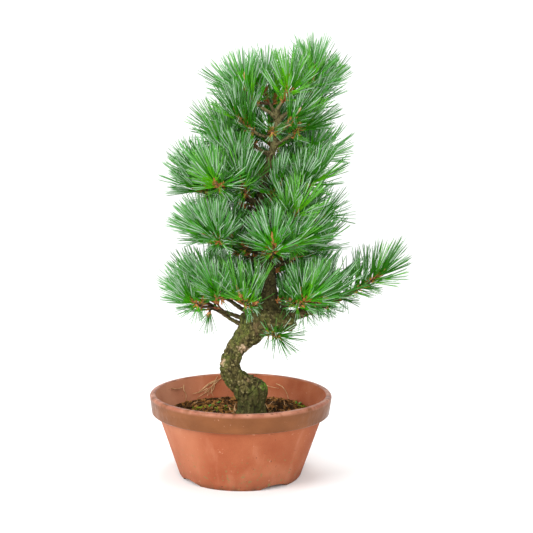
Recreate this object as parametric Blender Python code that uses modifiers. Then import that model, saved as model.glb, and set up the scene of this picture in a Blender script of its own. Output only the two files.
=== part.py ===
"""Potted Japanese white pine: an earthenware training pot, its soil, a bent trunk, the boughs
and the masses of needles that they carry. Metres, +Z up, origin under the middle of the pot."""

import math
import random
from collections import namedtuple

import bmesh
import bpy
import numpy as np
from mathutils import Matrix, Vector
from mathutils.bvhtree import BVHTree

GAP = 0.0003  # kept between solids that touch on the real plant
FLAT_ANGLE = math.radians(0.1)

# The pot: a flared bowl with a glazed band round its rim.
POT_HEIGHT = 0.097
RIM_RADIUS = 0.105
BAND_HEIGHT = 0.0226
BAND_FOOT_RADIUS = 0.1025
BODY_TOP_RADIUS = 0.0953
FOOT_RADIUS = 0.0707
LIP_ROUNDING = 0.0034
LIP_CHAMFER = 0.0012
LIP_INNER_RADIUS = 0.0983
WALL = 0.0085
FLOOR = 0.012
FLOOR_CHAMFER = 0.004
INNER_STEEPNESS = 0.86  # of the slope from the lip's inner edge to the foot's wall
FOOT_CHAMFER = 0.0025
BAND_CHAMFER = 0.001
POT_SIDES = 44

# Four arched channels under the foot let the water out of a drain hole each.
CHANNEL_ANGLES = (-56, 34, 124, 214)
CHANNEL_WIDTH = 0.035
CHANNEL_HEIGHT = 0.005
CHANNEL_DROP = 0.0007  # the arch's widest place lies this far under the foot
CHANNEL_INNER_END = 0.030
CHANNEL_OVERSHOOT = 0.02
CHANNEL_SIDES = 24
DRAIN_RADIUS = 0.005
DRAIN_DISTANCE = 0.044
DRAIN_SIDES = 16

# The soil: level under the trunk and uneven elsewhere.
SOIL_TOP = 0.070
SOIL_RINGS = (0.018, 0.036, 0.054, 0.072)
SOIL_SIDES = 24
LEVEL_RADIUS = 0.023
Mound = namedtuple("Mound", "x y width rise")
MOUNDS = (
    Mound(0.040, 0.045, 0.030, 0.0055),
    Mound(-0.045, 0.030, 0.034, 0.0030),
    Mound(-0.030, -0.060, 0.030, -0.0020),
)

# The trunk's axis and radius at chosen heights, from the cut at the soil to the fork.
Station = namedtuple("Station", "height x y radius")
TRUNK = (
    Station(0.0703, 0.0114, 0.000, 0.0180),
    Station(0.0765, 0.0114, 0.000, 0.0163),
    Station(0.0860, 0.0122, -0.001, 0.0160),
    Station(0.0960, 0.0118, -0.002, 0.0168),
    Station(0.1040, 0.0054, -0.003, 0.0160),
    Station(0.1115, -0.0036, -0.003, 0.0136),
    Station(0.1200, -0.0104, -0.004, 0.0124),
    Station(0.1310, -0.0128, -0.004, 0.0115),
    Station(0.1430, -0.0092, -0.003, 0.0112),
    Station(0.1545, -0.0019, -0.001, 0.0116),
    Station(0.1650, 0.0078, 0.001, 0.0152),
    Station(0.1770, 0.0161, 0.002, 0.0176),
    Station(0.1890, 0.0241, 0.003, 0.0160),
    Station(0.2020, 0.0291, 0.003, 0.0115),
    Station(0.2250, 0.0311, 0.002, 0.0088),
    Station(0.2620, 0.0276, 0.000, 0.0072),
    Station(0.3160, 0.0206, -0.002, 0.0058),
    Station(0.3660, 0.0311, 0.000, 0.0046),
    Station(0.4000, 0.0381, 0.001, 0.0040),
    Station(0.4230, 0.0371, 0.000, 0.0034),
)
TRUNK_RINGS = 38
TRUNK_SIDES = 12
COURSE_WINDOW = 2  # rings on both sides that a ring takes its course from, so that none cross
ROOTS = 5
ROOT_PHASE = 0.7  # radians that the roots are turned by
ROOT_SWELL = 0.14
ROOT_HEIGHT = 0.014
Knob = namedtuple("Knob", "x y z width rise")
KNOBS = (
    Knob(0.0266, -0.002, 0.103, 0.011, 0.0052),
    Knob(-0.0194, -0.010, 0.125, 0.007, 0.0015),
    Knob(-0.0054, -0.012, 0.160, 0.008, 0.0018),
    Knob(0.0026, 0.000, 0.186, 0.008, 0.0025),
    Knob(0.0206, -0.014, 0.176, 0.010, 0.0020),
    Knob(-0.0004, 0.014, 0.104, 0.010, 0.0022),
    Knob(0.0406, -0.003, 0.185, 0.0135, 0.0340),
)

# Every limb: where it leaves the trunk, its compass angle in degrees (-90 faces the front),
# how far and how high its leading shoot ends, that shoot's upward tilt, how many side shoots
# it has (a minus sets the first one on the right, seen from above the trunk), how long its
# leading brush of needles is, and its radius at the trunk.
Limb = namedtuple("Limb", "name leave compass reach height tilt sides brush girth")
LIMBS = (
    Limb("top_right", 0.409, 5, 0.041, 0.464, 90, 1, 0.030, 0.0027),
    Limb("top_centre", 0.419, -66, 0.030, 0.450, 62, 0, 0.024, 0.0024),
    Limb("top_left", 0.415, -170, 0.036, 0.448, 84, 0, 0.028, 0.0026),
    Limb("top_back", 0.405, 112, 0.034, 0.452, 66, 1, 0.024, 0.0025),
    Limb("upper_left", 0.388, -163, 0.045, 0.416, 62, 0, 0.030, 0.0029),
    Limb("upper_left_back", 0.372, 138, 0.044, 0.394, 40, 1, 0.024, 0.0030),
    Limb("upper_front", 0.393, -97, 0.034, 0.402, 22, 0, 0.013, 0.0020),
    Limb("upper_right_front", 0.396, -54, 0.036, 0.416, 34, 0, 0.020, 0.0023),
    Limb("upper_right_top", 0.403, 10, 0.046, 0.434, 56, 0, 0.022, 0.0024),
    Limb("upper_right", 0.384, -16, 0.037, 0.404, 20, 0, 0.024, 0.0025),
    Limb("upper_back", 0.366, 88, 0.058, 0.412, 50, 2, 0.024, 0.0031),
    Limb("left_shoulder", 0.345, -172, 0.049, 0.378, 70, 0, 0.025, 0.0030),
    Limb("left_middle", 0.316, -163, 0.059, 0.352, 60, -2, 0.030, 0.0036),
    Limb("front_left_middle", 0.310, -117, 0.050, 0.347, 52, 0, 0.024, 0.0031),
    Limb("front_middle", 0.324, -59, 0.035, 0.338, 56, 0, 0.022, 0.0028),
    Limb("right_middle", 0.332, -28, 0.064, 0.346, 50, 0, 0.024, 0.0033),
    Limb("right_back_middle", 0.350, 24, 0.067, 0.367, 16, 1, 0.024, 0.0034),
    Limb("back_left_middle", 0.306, 144, 0.063, 0.330, 28, 1, 0.026, 0.0035),
    Limb("back_middle", 0.302, 84, 0.068, 0.344, 44, 1, 0.026, 0.0036),
    Limb("back_right_middle", 0.286, 50, 0.076, 0.308, 36, 1, 0.026, 0.0037),
    Limb("right_front", 0.292, -54, 0.062, 0.314, 50, 0, 0.024, 0.0034),
    Limb("right_low_middle", 0.300, -4, 0.071, 0.304, 16, 0, 0.019, 0.0034),
    Limb("left_lower", 0.262, -162, 0.075, 0.285, 16, 2, 0.032, 0.0040),
    Limb("front_lower", 0.254, -85, 0.060, 0.280, 58, 0, 0.024, 0.0032),
    Limb("right_lower", 0.262, -24, 0.048, 0.280, 32, -1, 0.028, 0.0032),
    Limb("right_low_back", 0.246, 26, 0.069, 0.267, 38, 1, 0.024, 0.0038),
    Limb("back_left_lower", 0.248, 134, 0.074, 0.273, 36, 2, 0.028, 0.0040),
    Limb("back_lower", 0.230, 82, 0.078, 0.256, 36, 2, 0.028, 0.0042),
    Limb("long_right", 0.181, -3, 0.139, 0.236, 36, 0, 0.100, 0.0118),
    Limb("low_left", 0.186, -158, 0.067, 0.227, 32, -2, 0.030, 0.0042),
    Limb("low_left_back", 0.180, 178, 0.075, 0.209, 22, 1, 0.030, 0.0042),
    Limb("low_left_under", 0.172, 163, 0.052, 0.187, -84, 0, 0.020, 0.0040),
    Limb("low_front_left", 0.196, -117, 0.062, 0.218, 44, 0, 0.024, 0.0038),
    Limb("low_front_right", 0.203, -46, 0.069, 0.219, 56, 1, 0.028, 0.0040),
    Limb("low_back_left", 0.196, 118, 0.074, 0.222, 34, 1, 0.026, 0.0042),
    Limb("low_back_right", 0.200, 40, 0.077, 0.222, 22, -2, 0.028, 0.0044),
    Limb("under_right", 0.168, -44, 0.045, 0.168, -24, 0, 0.018, 0.0026),
)
THINNEST_BOUGH = 0.0033  # a thinner limb is all twig, and belongs to its mass
BOUGH_SHARE = 0.5  # of the limb's length, up to where it enters its mass
START_DROOP = 14  # degrees that a limb leaves the trunk below its own slope
START_HANDLE, END_HANDLE = 0.40, 0.33  # lengths of the limb curve's handles, as shares of its chord
LIMB_TAPER = 0.45  # the share of the length to this power has gone into the tip
HEADING_STEP = 0.01
THICK_LIMB = 0.006  # a thicker one has more sides
THIN_SIDES, THICK_SIDES = 6, 8
TWIG_SIDES = 4
WANDER = 0.035  # sideways swing, as a share of the limb's length
BOUGH_POINTS = 4
TWIG_POINTS = 4
SHOOT_TIP_RADIUS = 0.0012
FIRST_SIDE, SIDE_SPACING = 0.30, 0.12  # where side shoots leave, as shares of the stem
BARE_SHARE = 0.3  # of a limb without a bough, before its stem has side shoots
SIDE_LENGTH = 0.042
SIDE_SPREAD = 0.1
SIDE_TURN = 55  # degrees between a side shoot and its stem, seen from above
SIDE_TILT = 6
SIDE_LIFT = 24  # how much the outer half of a side shoot turns up
SIDE_GIRTH = 0.0018
SIDE_TAPER = 0.85
SIDE_BRUSH = 0.024
FEED_STRAIGHT = 0.002  # straight length on both sides of a joint between bough and stem

# Needles: flat toothed sprays set round the shoots in a rising spiral.
NEEDLE_LENGTH = 0.049
SHORTEST_SPRAY, LONGEST_SPRAY = 1.0, 1.08  # of the needles' length, as the longest ones show
SPRAY_TEETH = 4
SPRAY_SPREAD = 44
SPRAY_THICKNESS = 0.0008
SPRAY_CLEFT = 0.42  # how far out the teeth part, as a share of the length
SPRAY_CROWN = 0.12  # how much shorter the outermost teeth are
SPRAYS, SIDE_SPRAYS = 5, 4  # round the end of a leading shoot and of a side shoot
ROOT_SHARE = 0.2  # of a spray's length, where it may cross another of its own mass
TIP_LEAN, BASE_LEAN = 4, 58  # degrees between spray and shoot, at the tip and further back
LEAN_LENGTH = 0.022  # how far back the sprays reach their full lean
TIP_SETBACK = 0.0015
UPTURN = 0.28  # how strongly the needles turn towards the light
DROOPING = -0.1  # a shoot that heads further down has needles alike on all sides
UNDER_SHORTER = 0.62  # how much shorter the needles on the underside of a shoot are
FULL_BRUSH = 0.024  # a shorter brush is weak, and has shorter needles
GOLDEN_ANGLE = 137.5
SHORTER = (1.0, 0.86, 0.72)  # lengths tried before a spray is skipped
SPACE_LEAD = 0.014  # a tuft's middle lies this far beyond its shoot
SPACE_STEP = 0.026  # spacing of the middles along a long brush
SPACE_OVERLAP = 0.009  # how far a spray may reach past the halfway plane to another mass
CLEARANCE = 0.0006  # between a spray and anything of another mass
NEIGHBOURHOOD = 2.2 * NEEDLE_LENGTH  # sprays whose roots are further apart can't touch


def material(name, colour, roughness):
    made = bpy.data.materials.new(name)
    made.use_nodes = True
    shader = made.node_tree.nodes["Principled BSDF"]
    shader.inputs["Base Color"].default_value = (*colour, 1)
    shader.inputs["Roughness"].default_value = roughness
    shader.inputs["Metallic"].default_value = 0
    made.diffuse_color = (*colour, 1)
    return made


def new_collection(name):
    made = bpy.data.collections.new(name)
    bpy.context.scene.collection.children.link(made)
    return made


def add_object(name, data, collection, finish=None):
    made = bpy.data.objects.new(name, data)
    collection.objects.link(made)
    if finish:
        made.data.materials.clear()
        made.data.materials.append(finish)
    return made


def as_mesh(source, name):
    """The evaluated object as a closed mesh. The source object is removed."""
    bpy.context.view_layer.update()
    graph = bpy.context.evaluated_depsgraph_get()
    mesh = bpy.data.meshes.new_from_object(source.evaluated_get(graph))
    mesh.name = name
    work = bmesh.new()
    work.from_mesh(mesh)
    bmesh.ops.remove_doubles(work, verts=work.verts, dist=1e-6)
    bmesh.ops.recalc_face_normals(work, faces=work.faces)
    work.to_mesh(mesh)
    work.free()
    bpy.data.objects.remove(source)
    return mesh


def limb_mesh(name, places, radii, sides):
    """A tapering limb: a bevelled curve through the places, with closed ends."""
    curve = bpy.data.curves.new(name, "CURVE")
    curve.dimensions = "3D"
    curve.bevel_depth = 1
    curve.bevel_resolution = (sides - 4) // 2
    curve.use_fill_caps = True
    spline = curve.splines.new("POLY")
    spline.points.add(len(places) - 1)
    for point, place, radius in zip(spline.points, places, radii):
        point.co = (*place, 1)
        point.radius = radius
    return as_mesh(add_object(name, curve, guides), name)


def subtract(target, cutter):
    """Cuts the cutter out of the target and applies the cut."""
    cut = target.modifiers.new("cut", "BOOLEAN")
    cut.operation = "DIFFERENCE"
    cut.object = cutter
    apply_shape(target)


def join_with(target, collection):
    """Joins everything in the collection to the target and removes it from the file."""
    union = target.modifiers.new("join", "BOOLEAN")
    union.operation = "UNION"
    union.operand_type = "COLLECTION"
    union.collection = collection
    union.solver = "MANIFOLD"
    apply_shape(target)
    for piece in list(collection.objects):
        bpy.data.objects.remove(piece)
    merge_flat_faces(target.data)


def merge_flat_faces(mesh):
    """Removes the points that a join leaves inside flat faces."""
    work = bmesh.new()
    work.from_mesh(mesh)
    bmesh.ops.dissolve_limit(work, angle_limit=FLAT_ANGLE, verts=work.verts, edges=work.edges)
    work.to_mesh(mesh)
    work.free()


def apply_shape(target):
    bpy.context.view_layer.update()
    graph = bpy.context.evaluated_depsgraph_get()
    mesh = bpy.data.meshes.new_from_object(target.evaluated_get(graph))
    mesh.name = target.name
    target.modifiers.clear()
    target.data = mesh


def smooth(rows, share):
    """The Catmull-Rom value at a share from 0 to 1 along rows of numbers, evenly by row."""
    along = share * (len(rows) - 1)
    k = min(int(along), len(rows) - 2)
    t = along - k
    a, b, c, d = (Vector(rows[max(0, min(len(rows) - 1, k + n))]) for n in (-1, 0, 1, 2))
    straight = t * (c - a) / 2
    bend = t * t * (a - 2.5 * b + 2 * c - d / 2)
    twist = t**3 * (3 * b - a - 3 * c + d) / 2
    return b + straight + bend + twist


def trunk_axis(height):
    """The trunk's middle at a height."""
    heights = [station.height for station in TRUNK]
    x = np.interp(height, heights, [station.x for station in TRUNK])
    y = np.interp(height, heights, [station.y for station in TRUNK])
    return Vector((x, y, height))


def heading(compass, tilt):
    """The unit vector with a compass angle and an upward tilt, both in degrees."""
    turn, rise = math.radians(compass), math.radians(tilt)
    return Vector((math.cos(turn) * math.cos(rise), math.sin(turn) * math.cos(rise), math.sin(rise)))


def limb_place(limb, share):
    """The place at a share of the limb's length, from the trunk's axis to the leading tip."""
    start = trunk_axis(limb.leave)
    tip = Vector((*(start + limb.reach * heading(limb.compass, 0)).xy, limb.height))
    chord = tip - start
    slope = math.degrees(math.asin(chord.z / chord.length))
    first = start + heading(limb.compass, slope - START_DROOP) * chord.length * START_HANDLE
    last = tip - heading(limb.compass, limb.tilt) * chord.length * END_HANDLE
    t, u = share, 1 - share
    swing = random.Random(limb.name).choice((-1, 1)) * WANDER * chord.length * math.sin(2 * math.pi * t)
    sideways = heading(limb.compass + 90, 0)
    return u**3 * start + 3 * u * u * t * first + 3 * u * t * t * last + t**3 * tip + swing * sideways


def limb_heading(limb, share):
    before = limb_place(limb, max(0, share - HEADING_STEP))
    after = limb_place(limb, min(1, share + HEADING_STEP))
    return (after - before).normalized()


def limb_radius(limb, share):
    return limb.girth + (SHOOT_TIP_RADIUS - limb.girth) * share**LIMB_TAPER


def has_bough(limb):
    return limb.girth >= THINNEST_BOUGH


def bough_line(limb):
    """Places and radii of the bough, from inside the trunk to its straight end."""
    shares = [BOUGH_SHARE * k / (BOUGH_POINTS - 1) for k in range(BOUGH_POINTS)]
    places = [limb_place(limb, share) for share in shares]
    end = places[-1]
    places.insert(-1, end - FEED_STRAIGHT * limb_heading(limb, BOUGH_SHARE))
    radii = [limb_radius(limb, share) for share in (*shares[:-1], BOUGH_SHARE, BOUGH_SHARE)]
    return places, radii


def stem_line(limb):
    """Places and radii of the mass's stem, on from the bough's tip or out of the trunk."""
    first = BOUGH_SHARE if has_bough(limb) else 0
    shares = [first + (1 - first) * k / (TWIG_POINTS - 1) for k in range(TWIG_POINTS)]
    places = [limb_place(limb, share) for share in shares]
    radii = [limb_radius(limb, share) for share in shares]
    if has_bough(limb):
        onward = limb_heading(limb, BOUGH_SHARE)
        places[:1] = [places[0] + GAP * onward, places[0] + (GAP + FEED_STRAIGHT) * onward]
        radii.insert(0, radii[0])
    return places, radii


def side_shoots(limb):
    """Lines of the side shoots, which leave the stem by turns to the left and the right."""
    rng = random.Random(limb.name + " sides")
    first = BOUGH_SHARE if has_bough(limb) else BARE_SHARE
    hand = 1 if limb.sides > 0 else -1
    lines = []
    for k in range(abs(limb.sides)):
        share = first + (1 - first) * (FIRST_SIDE - SIDE_SPACING * k)
        compass = limb.compass + hand * SIDE_TURN
        length = SIDE_LENGTH * rng.uniform(1 - SIDE_SPREAD, 1 + SIDE_SPREAD)
        root = limb_place(limb, share)
        middle = root + heading(compass, SIDE_TILT) * length / 2
        tip = middle + heading(compass, SIDE_TILT + SIDE_LIFT) * length / 2
        lines.append(([root, middle, tip], [SIDE_GIRTH, SIDE_GIRTH * SIDE_TAPER, SHOOT_TIP_RADIUS]))
        hand = -hand
    return lines


def back_along(line, distance):
    """The place and the heading at a distance back from the tip of a line of places."""
    left = distance
    for start, end in zip(reversed(line[:-1]), reversed(line[1:])):
        step = (end - start).length
        if left <= step or start is line[0]:
            return end.lerp(start, min(1, left / step)), (end - start).normalized()
        left -= step


Brush = namedtuple("Brush", "line length vigour count middles")


def brushes(limb, sides):
    """The needled ends of the limb: its leading shoot and the side shoots that were kept."""
    leading = stem_line(limb)[0]
    whole = sum((after - before).length for before, after in zip(leading, leading[1:]))
    length = min(limb.brush, whole)
    vigour = min(1, limb.brush / FULL_BRUSH)
    steps = max(1, round(length / SPACE_STEP))
    stems = [(leading, length, vigour, steps, round(SPRAYS * (1 + steps) / 2))]
    stems += [(places, SIDE_BRUSH, 1, 1, SIDE_SPRAYS) for places, _ in sides]
    found = []
    for line, length, vigour, steps, count in stems:
        middles = []
        for k in range(steps):
            place, forward = back_along(line, length * k / steps)
            middles.append(place + SPACE_LEAD * forward)
        found.append(Brush(line, length, vigour, count, middles))
    return found


def spray_mesh():
    """A spray of needles one unit long: a flat fan with teeth, drawn from its root outwards."""
    curve = bpy.data.curves.new("spray", "CURVE")
    curve.dimensions = "2D"
    curve.fill_mode = "BOTH"
    curve.extrude = SPRAY_THICKNESS / 2
    outline = [(0, 0)]
    for k in range(2 * SPRAY_TEETH - 1):
        angle = math.radians(SPRAY_SPREAD * (k / (2 * SPRAY_TEETH - 2) - 0.5))
        out = SPRAY_CLEFT if k % 2 else 1 - SPRAY_CROWN * abs(k / (SPRAY_TEETH - 1) - 1)
        outline.append((out * math.cos(angle), out * math.sin(angle)))
    spline = curve.splines.new("POLY")
    spline.use_cyclic_u = True
    spline.points.add(len(outline) - 1)
    for point, place in zip(spline.points, outline):
        point.co = (*place, 0, 1)
    return as_mesh(add_object("spray", curve, guides), "spray")


def spray_placements(brush, rng):
    """Matrices that set the sprays round a brush, and the tuft's middle that each belongs to."""
    turn = rng.uniform(0, 360)
    for k in range(brush.count):
        back = TIP_SETBACK + (brush.length - TIP_SETBACK) * k / (brush.count - 1)
        root, forward = back_along(brush.line, back)
        full = min(1, back / LEAN_LENGTH)
        lean = math.radians(TIP_LEAN + (BASE_LEAN - TIP_LEAN) * full)
        around = Matrix.Rotation(math.radians(turn + GOLDEN_ANGLE * k), 3, forward)
        across = (around @ forward.orthogonal()).normalized()
        upright = forward.z > DROOPING
        under = full * (0.5 - 0.5 * across.z) if upright else 0
        along = forward * math.cos(lean) + across * math.sin(lean)
        along = (along + Vector((0, 0, UPTURN if upright else 0))).normalized()
        width = along.cross(forward).normalized()
        frame = Matrix((along, width, along.cross(width))).transposed().to_4x4()
        frame.translation = root
        length = NEEDLE_LENGTH * brush.vigour * rng.uniform(SHORTEST_SPRAY, LONGEST_SPRAY)
        length *= 1 - UNDER_SHORTER * under * under * math.sin(lean)
        middle = min(brush.middles, key=lambda place: (place - root - along * length / 2).length)
        yield frame, length, middle


def moved(mesh, matrix):
    """Vertices and polygons of a mesh after a move."""
    places = [matrix @ vertex.co for vertex in mesh.vertices]
    return places, [tuple(face.vertices) for face in mesh.polygons]


def tree_of(shapes):
    """A search tree over several shapes, each given as vertices and polygons."""
    places, faces = [], []
    for shape_places, shape_faces in shapes:
        faces += [tuple(len(places) + n for n in face) for face in shape_faces]
        places += shape_places
    return BVHTree.FromPolygons(places, faces)


def in_own_space(places, middle, others):
    """Whether the places stay on their tuft's side of the halfway planes to the other masses."""
    points = np.array(places)[:, None, :]
    others = np.array(others)[None, :, :]
    own = np.array(middle)
    to_others = ((points - others) ** 2).sum(axis=2)
    to_own = ((points - own) ** 2).sum(axis=2)
    apart = np.linalg.norm(others - own, axis=2)
    return bool(((to_others - to_own) / (2 * apart) >= -SPACE_OVERLAP).all())


def turned(name, outline, sides):
    """A solid of revolution: the outline runs from the axis round to the axis again."""
    mesh = bpy.data.meshes.new(name)
    edges = [(k, k + 1) for k in range(len(outline) - 1)]
    mesh.from_pydata([(radius, 0, height) for radius, height in outline], edges, [])
    profile = add_object(name, mesh, guides)
    screw = profile.modifiers.new("turn", "SCREW")
    screw.steps = screw.render_steps = sides
    screw.use_merge_vertices = True
    screw.merge_threshold = 1e-5
    return as_mesh(profile, name)


def inner_radius(height):
    """The pot's inner wall at a height."""
    slope = (LIP_INNER_RADIUS - (FOOT_RADIUS - WALL)) / (POT_HEIGHT - FLOOR)
    return LIP_INNER_RADIUS - (POT_HEIGHT - height) * slope * INNER_STEEPNESS


def build_pot(finish):
    band_foot = POT_HEIGHT - BAND_HEIGHT
    lip = [
        (
            RIM_RADIUS - LIP_ROUNDING * (1 - math.cos(math.radians(angle))),
            POT_HEIGHT - LIP_ROUNDING * (1 - math.sin(math.radians(angle))),
        )
        for angle in (0, 30, 60, 90)
    ]
    outline = [
        (0, 0),
        (FOOT_RADIUS - FOOT_CHAMFER, 0),
        (FOOT_RADIUS, FOOT_CHAMFER * 1.2),
        (BODY_TOP_RADIUS, band_foot - BAND_CHAMFER),
        (BODY_TOP_RADIUS + BAND_CHAMFER, band_foot),
        (BAND_FOOT_RADIUS - BAND_CHAMFER, band_foot),
        (BAND_FOOT_RADIUS, band_foot + BAND_CHAMFER),
        *lip,
        (LIP_INNER_RADIUS + LIP_CHAMFER, POT_HEIGHT),
        (LIP_INNER_RADIUS, POT_HEIGHT - LIP_CHAMFER),
        (inner_radius(FLOOR + FLOOR_CHAMFER), FLOOR + FLOOR_CHAMFER),
        (inner_radius(FLOOR) - FLOOR_CHAMFER, FLOOR),
        (0, FLOOR),
    ]
    pot = add_object("pot", turned("pot", outline, POT_SIDES), parts, finish)
    for angle in CHANNEL_ANGLES:
        subtract(pot, channel_cutter(angle))
        subtract(pot, drain_cutter(angle))
    return pot


def channel_cutter(angle):
    """An arched bar along a spoke of the foot, open at the pot's edge."""
    bpy.ops.mesh.primitive_cylinder_add(vertices=CHANNEL_SIDES, radius=1, depth=1)
    bar = bpy.context.active_object
    bar.name = f"channel_cutter_{angle}"
    length = FOOT_RADIUS + CHANNEL_OVERSHOOT - CHANNEL_INNER_END
    turn = Matrix.Rotation(math.radians(angle), 4, "Z")
    lay = Matrix.Rotation(math.radians(90), 4, "Y")
    size = Matrix.Diagonal((CHANNEL_HEIGHT + CHANNEL_DROP, CHANNEL_WIDTH / 2, length, 1))
    place = Matrix.Translation((CHANNEL_INNER_END + length / 2, 0, -CHANNEL_DROP))
    bar.data.transform(turn @ place @ lay @ size)
    return as_cutter(bar)


def drain_cutter(angle):
    """A pin through the floor, longer than the floor is thick."""
    depth = 3 * FLOOR
    bpy.ops.mesh.primitive_cylinder_add(vertices=DRAIN_SIDES, radius=DRAIN_RADIUS, depth=depth)
    hole = bpy.context.active_object
    hole.name = f"drain_cutter_{angle}"
    hole.data.transform(Matrix.Translation(DRAIN_DISTANCE * heading(angle, 0)))
    return as_cutter(hole)


def as_cutter(piece):
    for collection in list(piece.users_collection):
        collection.objects.unlink(piece)
    guides.objects.link(piece)
    piece.hide_render = True
    piece.display_type = "WIRE"
    return piece


def ground(x, y):
    """The soil's height at a place, level round the trunk's foot."""
    foot = Vector((TRUNK[0].x, TRUNK[0].y))
    away = (Vector((x, y)) - foot).length
    share = min(1, max(0, (away - LEVEL_RADIUS) / LEVEL_RADIUS))
    rise = 0
    for mound in MOUNDS:
        off = Vector((x - mound.x, y - mound.y)).length / mound.width
        rise += mound.rise * math.exp(-off * off)
    return SOIL_TOP + rise * share * share * (3 - 2 * share)


def build_soil(finish):
    low = FLOOR + GAP
    edge = inner_radius(SOIL_TOP) - 2 * GAP
    outline = [
        (0, low),
        (inner_radius(FLOOR) - FLOOR_CHAMFER - 2 * GAP, low),
        (inner_radius(FLOOR + FLOOR_CHAMFER) - 3 * GAP, FLOOR + FLOOR_CHAMFER + GAP),
        (edge, SOIL_TOP),
        *((radius, SOIL_TOP) for radius in reversed(SOIL_RINGS)),
        (0, SOIL_TOP),
    ]
    mesh = turned("soil", outline, SOIL_SIDES)
    for vertex in mesh.vertices:
        if vertex.co.z > SOIL_TOP - GAP and vertex.co.xy.length < SOIL_RINGS[-1] + GAP:
            vertex.co.z = ground(vertex.co.x, vertex.co.y)
    return add_object("soil", mesh, parts, finish)


def trunk_rings():
    """The middle, course and radius of every ring of the trunk. The first one is level."""
    rows = [(station.x, station.y, station.height) for station in TRUNK]
    widths = [(station.radius, 0, 0) for station in TRUNK]
    shares = [k / (TRUNK_RINGS - 1) for k in range(TRUNK_RINGS)]
    places = [smooth(rows, share) for share in shares]
    for k, share in enumerate(shares):
        before = places[max(0, k - COURSE_WINDOW)]
        after = places[min(TRUNK_RINGS - 1, k + COURSE_WINDOW)]
        course = (after - before).normalized() if k else Vector((0, 0, 1))
        yield places[k], course, smooth(widths, share).x


def bulged(point, middle):
    """A point of the trunk's surface, pushed out from its ring's middle by the knobs."""
    out = (point - middle).normalized()
    for knob in KNOBS:
        away = (point - Vector((knob.x, knob.y, knob.z))).length / knob.width
        point = point + out * knob.rise * math.exp(-away * away)
    return point


def spread(point, foot):
    """A point near the trunk's foot, pushed out where a root runs into the soil."""
    low = max(0, 1 - (point.z - foot.z) / ROOT_HEIGHT)
    out = point.xy - foot.xy
    ridge = 0.5 + 0.5 * math.cos(ROOTS * math.atan2(out.y, out.x) + ROOT_PHASE)
    return Vector((*(foot.xy + out * (1 + ROOT_SWELL * ridge * low)), point.z))


def build_trunk(finish):
    """A loft through unlike rings, because a bevelled curve would fold at the sharp bend. It
    has a level cut at the foot and a lid at the top."""
    points, foot = [], None
    for middle, course, radius in trunk_rings():
        foot = foot or middle
        across = Vector((0, 1, 0)).cross(course).normalized()
        for k in range(TRUNK_SIDES):
            turn = 2 * math.pi * k / TRUNK_SIDES
            out = across * math.cos(turn) + course.cross(across) * math.sin(turn)
            points.append(spread(bulged(middle + radius * out, middle), foot))
    faces = [tuple(reversed(range(TRUNK_SIDES)))]
    for start in range(0, len(points) - TRUNK_SIDES, TRUNK_SIDES):
        for k in range(TRUNK_SIDES):
            low, next_low = start + k, start + (k + 1) % TRUNK_SIDES
            faces.append((low, next_low, next_low + TRUNK_SIDES, low + TRUNK_SIDES))
    faces.append(tuple(range(len(points) - TRUNK_SIDES, len(points))))
    mesh = bpy.data.meshes.new("trunk")
    mesh.from_pydata(points, [], faces)
    work = bmesh.new()
    work.from_mesh(mesh)
    bmesh.ops.triangulate(work, faces=work.faces)
    work.to_mesh(mesh)
    work.free()
    return add_object("trunk", mesh, parts, finish)


def build_trunk_cutter(trunk):
    """The trunk with the gap all round it, to cut off what leaves the trunk."""
    work = bmesh.new()
    work.from_mesh(trunk.data)
    work.normal_update()
    moves = [vertex.normal * GAP * vertex.calc_shell_factor() for vertex in work.verts]
    for vertex, move in zip(work.verts, moves):
        vertex.co += move
    mesh = bpy.data.meshes.new("trunk_cutter")
    work.to_mesh(mesh)
    work.free()
    return as_cutter(add_object("trunk_cutter", mesh, guides))


def build_bough(limb, cutter, finish):
    name = f"bough_{limb.name}"
    sides = THICK_SIDES if limb.girth > THICK_LIMB else THIN_SIDES
    bough = add_object(name, limb_mesh(name, *bough_line(limb), sides), parts, finish)
    subtract(bough, cutter)
    return bough


def kept_side_shoots(limb, obstacles):
    """The side shoots that touch no other limb."""
    kept = []
    for places, radii in side_shoots(limb):
        if not obstacles.overlap(tree_of([grown("side", (places[1:], radii[1:]), TWIG_SIDES)])):
            kept.append((places, radii))
    return kept


def grown(name, line, sides):
    """The shape of a limb with its clearance round it."""
    mesh = limb_mesh(name, line[0], [radius + CLEARANCE for radius in line[1]], sides)
    shape = moved(mesh, Matrix())
    bpy.data.meshes.remove(mesh)
    return shape


def probe_shape(frame, reach):
    """The space that a spray needs: its own shape with the clearance round it."""
    wider = 1 + 2 * CLEARANCE / reach
    thicker = 1 + 2 * CLEARANCE / SPRAY_THICKNESS
    return moved(spray, frame @ Matrix.Diagonal((reach * wider, reach * wider, thicker, 1)))


def outer_shape(frame, reach):
    """A spray without its root, which is where it may cross another of its own mass."""
    outer = frame @ Matrix.Translation((ROOT_SHARE * reach, 0, 0))
    return moved(spray, outer @ Matrix.Diagonal((reach * (1 - ROOT_SHARE), reach, 1, 1)))


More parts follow.
